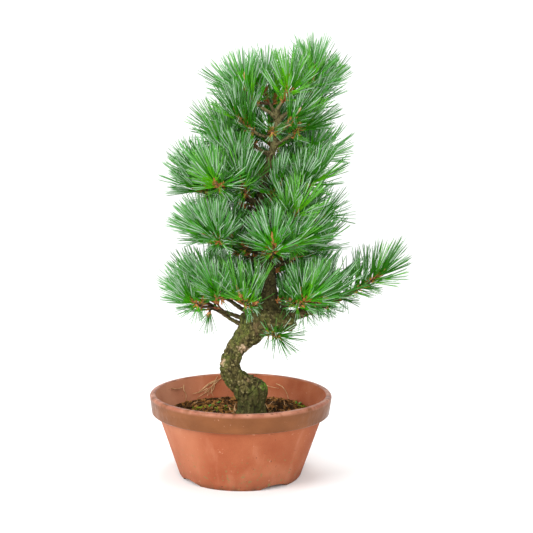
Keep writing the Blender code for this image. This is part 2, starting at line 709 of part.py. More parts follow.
def set_sprays(bunches, limb_trees):
    """Gives every mass its sprays by turns, where they stay in its space and touch nothing."""
    plans = []
    for limb in LIMBS:
        rng = random.Random(limb.name + " sprays")
        others = [
            tuple(middle)
            for name, group in bunches.items()
            if name != limb.name
            for bunch in group
            for middle in bunch.middles
        ]
        for bunch in bunches[limb.name]:
            for rank, placement in enumerate(spray_placements(bunch, rng)):
                plans.append((rank, limb.name, placement, others))
    plans.sort(key=lambda plan: plan[0])
    placed = {limb.name: [] for limb in LIMBS}
    for _, name, (frame, length, middle), others in plans:
        rivals, kin = [], []
        for owner, group in placed.items():
            for matrix, whole, outer in group:
                if (matrix.translation - frame.translation).length < NEIGHBOURHOOD:
                    (kin if owner == name else rivals).append(outer if owner == name else whole)
        for shorter in SHORTER:
            reach = length * shorter
            matrix = frame @ Matrix.Diagonal((reach, reach, 1, 1))
            shape = moved(spray, matrix)
            probe = tree_of([probe_shape(frame, reach)])
            outer = tree_of([outer_shape(frame, reach)])
            crosses = limb_trees[name].overlap(probe) or any(tree.overlap(probe) for tree in rivals)
            crosses = crosses or any(tree.overlap(outer) for tree in kin)
            if not crosses and in_own_space(shape[0], middle, others):
                placed[name].append((matrix, tree_of([shape]), outer))
                break
    return {name: [matrix for matrix, _, _ in group] for name, group in placed.items()}


def build_mass(limb, sides, sprays, cutter, finish):
    """One mass: its stem, its side shoots and its sprays, joined into one solid."""
    places, radii = stem_line(limb)
    mass = add_object(limb.name, limb_mesh(limb.name, places, radii, TWIG_SIDES), parts, finish)
    if not has_bough(limb):
        subtract(mass, cutter)
    for n, (side_places, side_radii) in enumerate(sides):
        add_object(f"side_{n}", limb_mesh("side", side_places, side_radii, TWIG_SIDES), joining)
    for matrix in sprays:
        add_object("spray", spray, joining).matrix_world = matrix
    join_with(mass, joining)
    mass.data.materials.clear()
    mass.data.materials.append(finish)


def build_foliage(cutter, bough_finish, mass_finish):
    """Boughs first, then every mass, each kept clear of all limbs but its own stem."""
    shapes = {"trunk": moved(cutter.data, Matrix())}
    for limb in LIMBS:
        if has_bough(limb):
            build_bough(limb, cutter, bough_finish)
            shapes[f"bough_{limb.name}"] = grown("bough", bough_line(limb), THIN_SIDES)
        shapes[limb.name] = grown("stem", stem_line(limb), TWIG_SIDES)
    sides, bunches = {}, {}
    for limb in LIMBS:
        obstacles = tree_of(shape for name, shape in shapes.items() if name != limb.name)
        sides[limb.name] = kept_side_shoots(limb, obstacles)
        bunches[limb.name] = brushes(limb, sides[limb.name])
        for n, line in enumerate(sides[limb.name]):
            shapes[f"{limb.name} side {n}"] = grown("side", line, TWIG_SIDES)
    limb_trees = {}
    for limb in LIMBS:
        own = (limb.name, *(f"{limb.name} side {n}" for n in range(len(sides[limb.name]))))
        limb_trees[limb.name] = tree_of(shape for name, shape in shapes.items() if name not in own)
    sprays = set_sprays(bunches, limb_trees)
    for limb in LIMBS:
        build_mass(limb, sides[limb.name], sprays[limb.name], cutter, mass_finish)
        print(f"{limb.name}: {len(bunches[limb.name])} shoots, {len(sprays[limb.name])} sprays")
    print(f"{sum(len(group) for group in sprays.values())} sprays")


for old in list(bpy.data.objects):
    bpy.data.objects.remove(old)
parts = new_collection("potted_white_pine")
guides = new_collection("guides")
guides.hide_render = True
joining = bpy.data.collections.new("joining")
spray = spray_mesh()

earthenware = material("earthenware", (0.50, 0.17, 0.085), 0.8)
earth = material("earth", (0.06, 0.04, 0.025), 0.95)
bark = material("bark", (0.16, 0.13, 0.08), 0.9)
needles = material("needles", (0.10, 0.27, 0.10), 0.5)

build_pot(earthenware)
build_soil(earth)
trunk = build_trunk(bark)
build_foliage(build_trunk_cutter(trunk), bark, needles)
bpy.data.collections.remove(joining)
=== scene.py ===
# %% [markdown]
# # A potted white pine
#
# This file dresses a small pine that stands in an earthenware training pot. The solids of the
# pot, the soil, the trunk, the boughs and the masses of needles come from the frame. Each is
# replaced here by a finer piece in the same place: the limbs grow by the same rule as the solids
# and are carried on to finer twigs, and every twig gets its needles.

# %% The frame and its box
import math
import random
from collections import namedtuple

import bmesh
import bpy
import numpy as np
from mathutils import Matrix, Vector, noise


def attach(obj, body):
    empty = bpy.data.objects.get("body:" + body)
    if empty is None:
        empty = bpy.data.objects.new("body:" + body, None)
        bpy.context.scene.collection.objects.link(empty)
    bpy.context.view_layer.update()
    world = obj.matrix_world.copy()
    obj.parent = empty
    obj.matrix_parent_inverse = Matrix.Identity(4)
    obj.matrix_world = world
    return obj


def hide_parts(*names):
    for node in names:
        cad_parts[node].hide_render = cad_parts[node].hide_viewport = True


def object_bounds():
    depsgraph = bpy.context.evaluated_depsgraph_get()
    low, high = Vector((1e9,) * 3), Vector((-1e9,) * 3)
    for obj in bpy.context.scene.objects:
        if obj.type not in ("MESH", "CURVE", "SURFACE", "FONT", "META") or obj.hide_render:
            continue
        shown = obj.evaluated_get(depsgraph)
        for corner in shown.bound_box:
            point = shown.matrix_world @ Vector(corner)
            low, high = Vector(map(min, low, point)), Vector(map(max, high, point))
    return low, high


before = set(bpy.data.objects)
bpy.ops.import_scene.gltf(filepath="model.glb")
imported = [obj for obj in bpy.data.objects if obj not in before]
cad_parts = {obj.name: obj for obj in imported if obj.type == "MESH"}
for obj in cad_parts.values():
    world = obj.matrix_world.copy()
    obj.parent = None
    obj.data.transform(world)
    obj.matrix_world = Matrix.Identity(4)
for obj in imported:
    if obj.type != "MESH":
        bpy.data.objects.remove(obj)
cad_box = [list(corner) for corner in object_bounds()]
nodes = set(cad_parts)
print("solids in the frame:", len(nodes))

# %% [markdown]
# The first helpers are for any piece. A mesh made from arrays is quick even with a hundred
# thousand triangles, and a tube that carries its own side vector along a path doesn't twist.

# %% Helpers for meshes
def add_piece(name, mesh, finishes):
    piece = bpy.data.objects.new(name, mesh)
    bpy.context.scene.collection.objects.link(piece)
    for finish in finishes:
        mesh.materials.append(finish)
    return piece


def mesh_of(name, places, faces, finish_numbers=None, smooth=False):
    mesh = bpy.data.meshes.new(name)
    mesh.from_pydata(places, [], faces)
    if finish_numbers is not None:
        mesh.polygons.foreach_set("material_index", np.asarray(finish_numbers, np.int32))
    if smooth:
        mesh.shade_smooth()
    mesh.update()
    return mesh


def plain_mesh(source):
    """The evaluated object as a mesh with no modifier left. The source is removed."""
    bpy.context.view_layer.update()
    graph = bpy.context.evaluated_depsgraph_get()
    mesh = bpy.data.meshes.new_from_object(source.evaluated_get(graph))
    bpy.data.objects.remove(source)
    return mesh


def frames_along(places, window=1):
    """A heading and a side vector at each place of a path, carried along without a twist. A
    wider window takes the heading from places further apart, so that the path turns gently."""
    places = [Vector(place) for place in places]
    headings = []
    for k in range(len(places)):
        ahead = places[min(k + window, len(places) - 1)]
        behind = places[max(k - window, 0)]
        headings.append((ahead - behind).normalized())
    side = headings[0].orthogonal().normalized()
    sides = []
    for onward in headings:
        side = (side - side.dot(onward) * onward).normalized()
        sides.append(side)
    return headings, sides


class Parts:
    """Gathers the points and faces of many small shapes for one joined mesh."""

    def __init__(self):
        self.places = []
        self.faces = []
        self.finish_numbers = []

    def add(self, places, faces, finish_number=0):
        first = len(self.places)
        self.places.extend(places)
        self.faces.extend(tuple(first + n for n in face) for face in faces)
        self.finish_numbers.extend([finish_number] * len(faces))

    def mesh(self, name, smooth=True):
        return mesh_of(name, self.places, self.faces, self.finish_numbers, smooth)


def tube(places, radii, sides, relief=None, window=1):
    """Points and faces of a tapering tube with closed ends. Relief gives an extra radius."""
    headings, side_vectors = frames_along(places, window)
    points, faces = [], []
    for ring, (place, radius, onward, side) in enumerate(zip(places, radii, headings, side_vectors)):
        other = onward.cross(side)
        for k in range(sides):
            turn = 2 * math.pi * k / sides
            out = math.cos(turn) * side + math.sin(turn) * other
            extra = relief(place, out, radius) if relief else 0
            points.append(Vector(place) + out * (radius + extra))
    for ring in range(len(places) - 1):
        for k in range(sides):
            a, b = ring * sides + k, ring * sides + (k + 1) % sides
            faces.append((a, b, b + sides, a + sides))
    last = (len(places) - 1) * sides
    faces.append(tuple(reversed(range(sides))))
    faces.append(tuple(range(last, last + sides)))
    return points, faces


# %% [markdown]
# A finish is a Principled shader fed by a few masks. Noise at two sizes does most of the work on
# a plant and an old pot, so it is a node group with a named size and contrast, and each finish
# mixes its own colours with it.

# %% A node group for mottling, and a short way to build finishes
def mottle_group():
    """A mask from 0 to 1: broad patches with fine grain in them."""
    group = bpy.data.node_groups.new("mottle", "ShaderNodeTree")
    group.interface.new_socket("Vector", in_out="INPUT", socket_type="NodeSocketVector")
    for name, value in (("Size", 40.0), ("Low", 0.4), ("High", 0.6), ("Detail", 6.0)):
        socket = group.interface.new_socket(name, in_out="INPUT", socket_type="NodeSocketFloat")
        socket.default_value = value
    group.interface.new_socket("Mask", in_out="OUTPUT", socket_type="NodeSocketFloat")
    entry = group.nodes.new("NodeGroupInput")
    leave = group.nodes.new("NodeGroupOutput")
    cloud = group.nodes.new("ShaderNodeTexNoise")
    spread = group.nodes.new("ShaderNodeMapRange")
    group.links.new(entry.outputs["Vector"], cloud.inputs["Vector"])
    group.links.new(entry.outputs["Size"], cloud.inputs["Scale"])
    group.links.new(entry.outputs["Detail"], cloud.inputs["Detail"])
    group.links.new(cloud.outputs["Fac"], spread.inputs["Value"])
    group.links.new(entry.outputs["Low"], spread.inputs["From Min"])
    group.links.new(entry.outputs["High"], spread.inputs["From Max"])
    group.links.new(spread.outputs["Result"], leave.inputs["Mask"])
    return group


mottle = mottle_group()


class Finish:
    """A material under construction, with short methods for the nodes that this plant needs."""

    def __init__(self, name, roughness=0.8, gloss=0.5):
        self.material = bpy.data.materials.new(name)
        self.material.use_nodes = True
        self.tree = self.material.node_tree
        self.shader = self.tree.nodes["Principled BSDF"]
        self.shader.inputs["Roughness"].default_value = roughness
        self.shader.inputs["Specular IOR Level"].default_value = gloss
        self.coordinates = self.tree.nodes.new("ShaderNodeTexCoord").outputs["Object"]

    def link(self, source, target):
        self.tree.links.new(source, target)

    def mask(self, size, low, high, detail=6.0, stretch=(1, 1, 1), offset=(0, 0, 0)):
        """A mottled mask, with its pattern stretched and shifted if asked."""
        mapping = self.tree.nodes.new("ShaderNodeMapping")
        mapping.inputs["Scale"].default_value = stretch
        mapping.inputs["Location"].default_value = offset
        self.link(self.coordinates, mapping.inputs["Vector"])
        group = self.tree.nodes.new("ShaderNodeGroup")
        group.node_tree = mottle
        self.link(mapping.outputs["Vector"], group.inputs["Vector"])
        for name, value in (("Size", size), ("Low", low), ("High", high), ("Detail", detail)):
            group.inputs[name].default_value = value
        return group.outputs["Mask"]

    def attribute(self, name):
        """A mask that the mesh carries at its points."""
        node = self.tree.nodes.new("ShaderNodeAttribute")
        node.attribute_name = name
        return node.outputs["Fac"]

    def rising(self, low, high, axis="Z"):
        """A mask that rises from 0 to 1 between two places along an axis."""
        split = self.tree.nodes.new("ShaderNodeSeparateXYZ")
        self.link(self.coordinates, split.inputs["Vector"])
        spread = self.tree.nodes.new("ShaderNodeMapRange")
        self.link(split.outputs[axis], spread.inputs["Value"])
        spread.inputs["From Min"].default_value = low
        spread.inputs["From Max"].default_value = high
        return spread.outputs["Result"]

    def times(self, first, second):
        node = self.tree.nodes.new("ShaderNodeMath")
        node.operation = "MULTIPLY"
        for value, socket in zip((first, second), node.inputs):
            if isinstance(value, (int, float)):
                socket.default_value = value
            else:
                self.link(value, socket)
        return node.outputs["Value"]

    def mix(self, mask, first, second):
        """A colour between two colours, each a tuple or the output of another node."""
        node = self.tree.nodes.new("ShaderNodeMix")
        node.data_type = "RGBA"
        self.link(mask, node.inputs["Factor"])
        for value, socket in zip((first, second), (node.inputs[6], node.inputs[7])):
            if isinstance(value, tuple):
                socket.default_value = (*value, 1)
            else:
                self.link(value, socket)
        return node.outputs[2]

    def colour(self, source):
        if isinstance(source, tuple):
            self.shader.inputs["Base Color"].default_value = (*source, 1)
        else:
            self.link(source, self.shader.inputs["Base Color"])

    def roughness(self, mask, low, high):
        spread = self.tree.nodes.new("ShaderNodeMapRange")
        self.link(mask, spread.inputs["Value"])
        spread.inputs["To Min"].default_value = low
        spread.inputs["To Max"].default_value = high
        self.link(spread.outputs["Result"], self.shader.inputs["Roughness"])

    def bump(self, mask, depth):
        """A relief of a depth in metres."""
        node = self.tree.nodes.new("ShaderNodeBump")
        node.inputs["Distance"].default_value = depth
        node.inputs["Strength"].default_value = 1
        self.link(mask, node.inputs["Height"])
        self.link(node.outputs["Normal"], self.shader.inputs["Normal"])


# %% [markdown]
# The pot's fired clay is orange, dusty and stained: lime has left pale clouds, damp has left a darker
# belt near the foot, and a few green specks of moss have settled. The left side, towards the key
# light, is painted paler as painted light, partly through a cloud of dust set on that side. The band
# round the rim has a thin brown glaze, worn away along the lip.

# %% Finishes of the pot
POT_HEIGHT = 0.097
BAND_HEIGHT = 0.0226


def clay_finish(name, dark, light, dust_and_light_tone):
    clay = Finish(name, 0.85, 0.3)
    orange = clay.mix(clay.mask(26, 0.35, 0.68), dark, light)
    # Pale clouds of dust. One of them is set on the left side, where it is also painted light.
    dust_and_painted_light = clay.mix(clay.mask(10, 0.54, 0.74, offset=(3, 1, 2)), orange, dust_and_light_tone)
    # Painted light: the left side, towards the key light, is painted paler, as if sunlit.
    painted_sunlit_side = clay.times(clay.rising(-0.030, -0.085, "X"), clay.mask(18, 0.20, 0.60, stretch=(1, 1, 0.4)))
    pale = clay.mix(clay.times(painted_sunlit_side, 0.55), dust_and_painted_light, (0.520, 0.250, 0.150))
    streak = clay.times(clay.mask(46, 0.56, 0.70, stretch=(1, 1, 0.16), offset=(6, 1, 1)), 0.35)
    streaked = clay.mix(streak, pale, (0.480, 0.200, 0.110))
    foot = clay.times(clay.rising(0.020, 0.003), clay.mask(34, 0.38, 0.62))
    damp = clay.mix(clay.times(foot, 0.7), streaked, (0.180, 0.048, 0.020))
    chalk = clay.mix(clay.mask(170, 0.685, 0.75, detail=3, offset=(1, 8, 2)), damp, (0.47, 0.22, 0.13))
    pits = clay.mix(clay.mask(260, 0.715, 0.75, detail=2, offset=(8, 3, 3)), chalk, (0.10, 0.035, 0.02))
    low = clay.times(clay.rising(0.055, 0.010), clay.mask(240, 0.62, 0.68, detail=2, offset=(5, 2, 7)))
    specked = clay.mix(clay.times(low, 0.8), pits, (0.17, 0.15, 0.05))
    edge = clay.times(clay.rising(0.0065, 0.0010), clay.mask(120, 0.36, 0.60, offset=(2, 7, 1)))
    clay.colour(clay.mix(clay.times(edge, 0.75), specked, (0.100, 0.050, 0.020)))
    clay.bump(clay.mask(900, 0.2, 0.8, detail=3), 0.0004)
    return clay.material


def glaze_finish():
    glaze = Finish("brown_glaze", 0.42, 0.22)
    brown = glaze.mix(glaze.mask(30, 0.35, 0.70, stretch=(1, 1, 2)), (0.136, 0.043, 0.010), (0.192, 0.064, 0.018))
    worn = glaze.times(
        glaze.rising(POT_HEIGHT - 0.0050, POT_HEIGHT - 0.0010),
        glaze.mask(75, 0.30, 0.46),
    )
    pink = glaze.mix(glaze.mask(60, 0.40, 0.62, offset=(7, 3, 1)), (0.300, 0.105, 0.062), (0.430, 0.190, 0.120))
    rubbed = glaze.mix(worn, brown, pink)
    rim = glaze.rising(POT_HEIGHT - 0.0035, POT_HEIGHT - 0.0005)
    chipped = glaze.times(rim, glaze.mask(210, 0.60, 0.67, detail=4, offset=(3, 9, 4)))
    rubbed = glaze.mix(chipped, rubbed, (0.150, 0.062, 0.035))
    glaze.colour(glaze.mix(glaze.mask(240, 0.70, 0.76, detail=3, offset=(2, 2, 5)), rubbed, (0.36, 0.17, 0.11)))
    glaze.roughness(glaze.mask(70, 0.35, 0.70), 0.30, 0.50)
    glaze.bump(glaze.mask(160, 0.3, 0.7, detail=3), 0.0003)
    return glaze.material


clay_material = clay_finish("fired_clay", (0.275, 0.066, 0.023), (0.335, 0.096, 0.038), (0.430, 0.170, 0.088))
# The inner wall above the soil gets darker clay than the outside.
inside_material = clay_finish("damp_clay", (0.250, 0.066, 0.032), (0.320, 0.098, 0.050), (0.380, 0.160, 0.090))
glaze_material = glaze_finish()
print("pot finishes:", clay_material.name, glaze_material.name)

# %% [markdown]
# A pot is turned on a wheel, so its section is drawn once and swept round by a Screw modifier.
# The channels under the foot are cut with the same bars as in the solids, and the wall is fine
# enough that the rim looks round.

# %% The pot
RIM_RADIUS = 0.105
BAND_FOOT_RADIUS = 0.1025
BODY_TOP_RADIUS = 0.0953
FOOT_RADIUS = 0.0707
LIP_ROUNDING = 0.0034
LIP_CHAMFER = 0.0012
LIP_INNER_RADIUS = 0.0983
WALL = 0.0085
FLOOR = 0.012
FLOOR_CHAMFER = 0.004
INNER_STEEPNESS = 0.86
SOIL_TOP = 0.070
FOOT_CHAMFER = 0.0025
BAND_CHAMFER = 0.001
CHANNEL_ANGLES = (-56, 34, 124, 214)
CHANNEL_WIDTH = 0.035
CHANNEL_HEIGHT = 0.005
CHANNEL_DROP = 0.0007
CHANNEL_INNER_END = 0.030
POT_STEPS = 176


def inner_radius(height):
    """The pot's inner wall at a height."""
    slope = (LIP_INNER_RADIUS - (FOOT_RADIUS - WALL)) / (POT_HEIGHT - FLOOR)
    return LIP_INNER_RADIUS - (POT_HEIGHT - height) * slope * INNER_STEEPNESS


def turned(name, outline, steps):
    """A closed solid of revolution from an outline that runs from the axis to the axis."""
    mesh = bpy.data.meshes.new(name)
    edges = [(k, k + 1) for k in range(len(outline) - 1)]
    mesh.from_pydata([(radius, 0, height) for radius, height in outline], edges, [])
    profile = bpy.data.objects.new(name, mesh)
    bpy.context.scene.collection.objects.link(profile)
    screw = profile.modifiers.new("turn", "SCREW")
    screw.steps = screw.render_steps = steps
    screw.use_merge_vertices = True
    screw.merge_threshold = 1e-5
    made = plain_mesh(profile)
    work = bmesh.new()
    work.from_mesh(made)
    bmesh.ops.remove_doubles(work, verts=work.verts, dist=1e-6)
    bmesh.ops.recalc_face_normals(work, faces=work.faces)
    work.to_mesh(made)
    work.free()
    return made


def channel_bar(angle):
    bpy.ops.mesh.primitive_cylinder_add(vertices=48, radius=1, depth=1)
    bar = bpy.context.active_object
    length = FOOT_RADIUS + 0.02 - CHANNEL_INNER_END
    size = Matrix.Diagonal((CHANNEL_HEIGHT + CHANNEL_DROP, CHANNEL_WIDTH / 2, length, 1))
    lay = Matrix.Rotation(math.radians(90), 4, "Y")
    place = Matrix.Translation((CHANNEL_INNER_END + length / 2, 0, -CHANNEL_DROP))
    bar.data.transform(Matrix.Rotation(math.radians(angle), 4, "Z") @ place @ lay @ size)
    return bar


def pot_outline():
    band_foot = POT_HEIGHT - BAND_HEIGHT
    wall = []
    for k in range(1, 12):
        share = k / 12
        radius = FOOT_RADIUS + (BODY_TOP_RADIUS - FOOT_RADIUS) * share
        height = FOOT_CHAMFER * 1.2 + (band_foot - FOOT_CHAMFER * 1.2) * share
        wall.append((radius, height))
    lip = []
    for angle in range(0, 91, 10):
        turn = math.radians(angle)
        radius = RIM_RADIUS - LIP_ROUNDING * (1 - math.cos(turn))
        lip.append((radius, POT_HEIGHT - LIP_ROUNDING * (1 - math.sin(turn))))
    return [
        (0, 0),
        (FOOT_RADIUS - FOOT_CHAMFER, 0),
        (FOOT_RADIUS, FOOT_CHAMFER * 1.2),
        *wall,
        (BODY_TOP_RADIUS, band_foot - BAND_CHAMFER),
        (BODY_TOP_RADIUS + BAND_CHAMFER, band_foot),
        (BAND_FOOT_RADIUS - BAND_CHAMFER, band_foot),
        (BAND_FOOT_RADIUS, band_foot + BAND_CHAMFER),
        *lip,
        (LIP_INNER_RADIUS + LIP_CHAMFER, POT_HEIGHT),
        (LIP_INNER_RADIUS, POT_HEIGHT - LIP_CHAMFER),
        (inner_radius(FLOOR + FLOOR_CHAMFER), FLOOR + FLOOR_CHAMFER),
        (inner_radius(FLOOR) - FLOOR_CHAMFER, FLOOR),
        (0, FLOOR),
    ]


def build_pot():
    mesh = turned("training_pot", pot_outline(), POT_STEPS)
    pot = add_piece("training_pot", mesh, [clay_material, glaze_material])
    for angle in CHANNEL_ANGLES:
        bar = channel_bar(angle)
        cut = pot.modifiers.new("channel", "BOOLEAN")
        cut.operation = "DIFFERENCE"
        cut.object = bar
        bpy.context.view_layer.update()
        graph = bpy.context.evaluated_depsgraph_get()
        cut_mesh = bpy.data.meshes.new_from_object(pot.evaluated_get(graph))
        pot.modifiers.clear()
        pot.data = cut_mesh
        bpy.data.objects.remove(bar)
    pot.data.materials.clear()
    pot.data.materials.append(clay_material)
    pot.data.materials.append(glaze_material)
    pot.data.materials.append(inside_material)
    band_foot = POT_HEIGHT - BAND_HEIGHT
    for face in pot.data.polygons:
        outside = face.center.xy.length > LIP_INNER_RADIUS - 0.002
        face.material_index = int(outside and face.center.z > band_foot - BAND_CHAMFER / 2)
        if not outside and face.center.z > SOIL_TOP - 0.01 and face.normal.xy.dot(face.center.xy) < 0:
            face.material_index = 2
    pot.data.shade_smooth()
    pot.data.set_sharp_from_angle(angle=math.radians(32))
    return pot


pot = build_pot()
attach(pot, "root")
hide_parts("pot")
print("pot faces:", len(pot.data.polygons))

# %% [markdown]
# The limbs follow the rule of the solids. A table gives each limb where it leaves the trunk,
# where its leading shoot ends, and how it tilts there. The trunk is a smooth curve through a few
# stations.

# %% The trunk's stations and the table of limbs
Station = namedtuple("Station", "height x y radius")
TRUNK = (
    Station(0.0703, 0.0114, 0.000, 0.0180),
    Station(0.0765, 0.0114, 0.000, 0.0163),
    Station(0.0860, 0.0122, -0.001, 0.0160),
    Station(0.0960, 0.0118, -0.002, 0.0168),
    Station(0.1040, 0.0054, -0.003, 0.0160),
    Station(0.1115, -0.0036, -0.003, 0.0136),
    Station(0.1200, -0.0104, -0.004, 0.0124),
    Station(0.1310, -0.0128, -0.004, 0.0115),
    Station(0.1430, -0.0092, -0.003, 0.0112),
    Station(0.1545, -0.0019, -0.001, 0.0116),
    Station(0.1650, 0.0078, 0.001, 0.0152),
    Station(0.1770, 0.0161, 0.002, 0.0176),
    Station(0.1890, 0.0241, 0.003, 0.0160),
    Station(0.2020, 0.0291, 0.003, 0.0115),
    Station(0.2250, 0.0311, 0.002, 0.0088),
    Station(0.2620, 0.0276, 0.000, 0.0072),
    Station(0.3160, 0.0206, -0.002, 0.0058),
    Station(0.3660, 0.0311, 0.000, 0.0046),
    Station(0.4000, 0.0381, 0.001, 0.0040),
    Station(0.4230, 0.0371, 0.000, 0.0034),
)
Limb = namedtuple("Limb", "name leave compass reach height tilt sides brush girth")
LIMBS = (
    Limb("top_right", 0.409, 5, 0.041, 0.464, 90, 1, 0.030, 0.0027),
    Limb("top_centre", 0.419, -66, 0.030, 0.450, 62, 0, 0.024, 0.0024),
    Limb("top_left", 0.415, -170, 0.036, 0.448, 84, 0, 0.028, 0.0026),
    Limb("top_back", 0.405, 112, 0.034, 0.452, 66, 1, 0.024, 0.0025),
    Limb("upper_left", 0.388, -163, 0.045, 0.416, 62, 0, 0.030, 0.0029),
    Limb("upper_left_back", 0.372, 138, 0.044, 0.394, 40, 1, 0.024, 0.0030),
    Limb("upper_front", 0.393, -97, 0.034, 0.402, 22, 0, 0.013, 0.0020),
    Limb("upper_right_front", 0.396, -54, 0.036, 0.416, 34, 0, 0.020, 0.0023),
    Limb("upper_right_top", 0.403, 10, 0.046, 0.434, 56, 0, 0.022, 0.0024),
    Limb("upper_right", 0.384, -16, 0.037, 0.404, 20, 0, 0.024, 0.0025),
    Limb("upper_back", 0.366, 88, 0.058, 0.412, 50, 2, 0.024, 0.0031),
    Limb("left_shoulder", 0.345, -172, 0.049, 0.378, 70, 0, 0.025, 0.0030),
    Limb("left_middle", 0.316, -163, 0.059, 0.352, 60, -2, 0.030, 0.0036),
    Limb("front_left_middle", 0.310, -117, 0.050, 0.347, 52, 0, 0.024, 0.0031),
    Limb("front_middle", 0.324, -59, 0.035, 0.338, 56, 0, 0.022, 0.0028),
    Limb("right_middle", 0.332, -28, 0.064, 0.346, 50, 0, 0.024, 0.0033),
    Limb("right_back_middle", 0.350, 24, 0.067, 0.367, 16, 1, 0.024, 0.0034),
    Limb("back_left_middle", 0.306, 144, 0.063, 0.330, 28, 1, 0.026, 0.0035),
    Limb("back_middle", 0.302, 84, 0.068, 0.344, 44, 1, 0.026, 0.0036),
    Limb("back_right_middle", 0.286, 50, 0.076, 0.308, 36, 1, 0.026, 0.0037),
    Limb("right_front", 0.292, -54, 0.062, 0.314, 50, 0, 0.024, 0.0034),
    Limb("right_low_middle", 0.300, -4, 0.071, 0.304, 16, 0, 0.019, 0.0034),
    Limb("left_lower", 0.262, -162, 0.075, 0.285, 16, 2, 0.032, 0.0040),
    Limb("front_lower", 0.254, -85, 0.060, 0.280, 58, 0, 0.024, 0.0032),
    Limb("right_lower", 0.262, -24, 0.048, 0.280, 32, -1, 0.028, 0.0032),
    Limb("right_low_back", 0.246, 26, 0.069, 0.267, 38, 1, 0.024, 0.0038),
    Limb("back_left_lower", 0.248, 134, 0.074, 0.273, 36, 2, 0.028, 0.0040),
    Limb("back_lower", 0.230, 82, 0.078, 0.256, 36, 2, 0.028, 0.0042),
    Limb("long_right", 0.181, -3, 0.139, 0.236, 36, 0, 0.100, 0.0118),
    Limb("low_left", 0.186, -158, 0.067, 0.227, 32, -2, 0.030, 0.0042),
    Limb("low_left_back", 0.180, 178, 0.075, 0.209, 22, 1, 0.030, 0.0042),
    Limb("low_left_under", 0.172, 163, 0.052, 0.187, -84, 0, 0.020, 0.0040),
    Limb("low_front_left", 0.196, -117, 0.062, 0.218, 44, 0, 0.024, 0.0038),
    Limb("low_front_right", 0.203, -46, 0.069, 0.219, 56, 1, 0.028, 0.0040),
    Limb("low_back_left", 0.196, 118, 0.074, 0.222, 34, 1, 0.026, 0.0042),
    Limb("low_back_right", 0.200, 40, 0.077, 0.222, 22, -2, 0.028, 0.0044),
    Limb("under_right", 0.168, -44, 0.045, 0.168, -24, 0, 0.018, 0.0026),
)
print("limbs:", len(LIMBS))

# %% [markdown]
# A limb is a cubic curve from the trunk's middle to the tip of its leading shoot. It leaves the
# trunk a little below its own slope, as a branch that has sagged does, and turns up at its end.

# %% The rule that the limbs follow
START_DROOP = 14
START_HANDLE, END_HANDLE = 0.40, 0.33
WANDER = 0.035
LIMB_TAPER = 0.45
SHOOT_TIP_RADIUS = 0.0012
THINNEST_BOUGH = 0.0033  # a thinner limb is all twig
BOUGH_SHARE = 0.5
BARE_SHARE = 0.3
FIRST_SIDE, SIDE_SPACING = 0.30, 0.12
SIDE_LENGTH = 0.042
SIDE_SPREAD = 0.1
SIDE_TURN = 55
SIDE_TILT = 6
SIDE_LIFT = 24
SIDE_BRUSH = 0.024


def blend_rows(rows, share):
    """The smooth curve's value at a share from 0 to 1 along rows of numbers."""
    along = share * (len(rows) - 1)
    k = min(int(along), len(rows) - 2)
    t = along - k
    a, b, c, d = (Vector(rows[max(0, min(len(rows) - 1, k + n))]) for n in (-1, 0, 1, 2))
    straight = t * (c - a) / 2
    bend = t * t * (a - 2.5 * b + 2 * c - d / 2)
    twist = t**3 * (3 * b - a - 3 * c + d) / 2
    return b + straight + bend + twist


def trunk_axis(height):
    heights = [station.height for station in TRUNK]
    x = np.interp(height, heights, [station.x for station in TRUNK])
    y = np.interp(height, heights, [station.y for station in TRUNK])
    return Vector((x, y, height))


def heading(compass, tilt):
    turn, rise = math.radians(compass), math.radians(tilt)
    flat = Vector((math.cos(turn), math.sin(turn), 0))
    return flat * math.cos(rise) + Vector((0, 0, math.sin(rise)))


def limb_place(limb, share):
    start = trunk_axis(limb.leave)
    tip = Vector((*(start + limb.reach * heading(limb.compass, 0)).xy, limb.height))
    chord = tip - start
    slope = math.degrees(math.asin(chord.z / chord.length))
    first = start + heading(limb.compass, slope - START_DROOP) * chord.length * START_HANDLE
    last = tip - heading(limb.compass, limb.tilt) * chord.length * END_HANDLE
    t, u = share, 1 - share
    hand = random.Random(limb.name).choice((-1, 1))
    swing = hand * WANDER * chord.length * math.sin(2 * math.pi * t)
    curve = u**3 * start + 3 * u * u * t * first + 3 * u * t * t * last + t**3 * tip
    return curve + swing * heading(limb.compass + 90, 0)


def limb_radius(limb, share):
    return limb.girth + (SHOOT_TIP_RADIUS - limb.girth) * share**LIMB_TAPER


def side_lines(limb):
    """The side shoots of a limb, to the left and the right by turns."""
    rng = random.Random(limb.name + " sides")
    first = BOUGH_SHARE if limb.girth >= THINNEST_BOUGH else BARE_SHARE
    hand = 1 if limb.sides > 0 else -1
    lines = []
    for k in range(abs(limb.sides)):
        share = first + (1 - first) * (FIRST_SIDE - SIDE_SPACING * k)
        compass = limb.compass + hand * SIDE_TURN
        length = SIDE_LENGTH * rng.uniform(1 - SIDE_SPREAD, 1 + SIDE_SPREAD)
        root = limb_place(limb, share)
        middle = root + heading(compass, SIDE_TILT) * length / 2
        tip = middle + heading(compass, SIDE_TILT + SIDE_LIFT) * length / 2
        lines.append([root, middle, tip])
        hand = -hand
    return lines


print("first limb ends at", [round(v, 3) for v in limb_place(LIMBS[0], 1)])

# %% [markdown]
# The finer twigs are the same idea one step further: short shoots leave each stem by turns round
# it, point forward and turn up. They stay inside the reach of the stem that carries them, so the
# crown keeps its outline and only fills in.

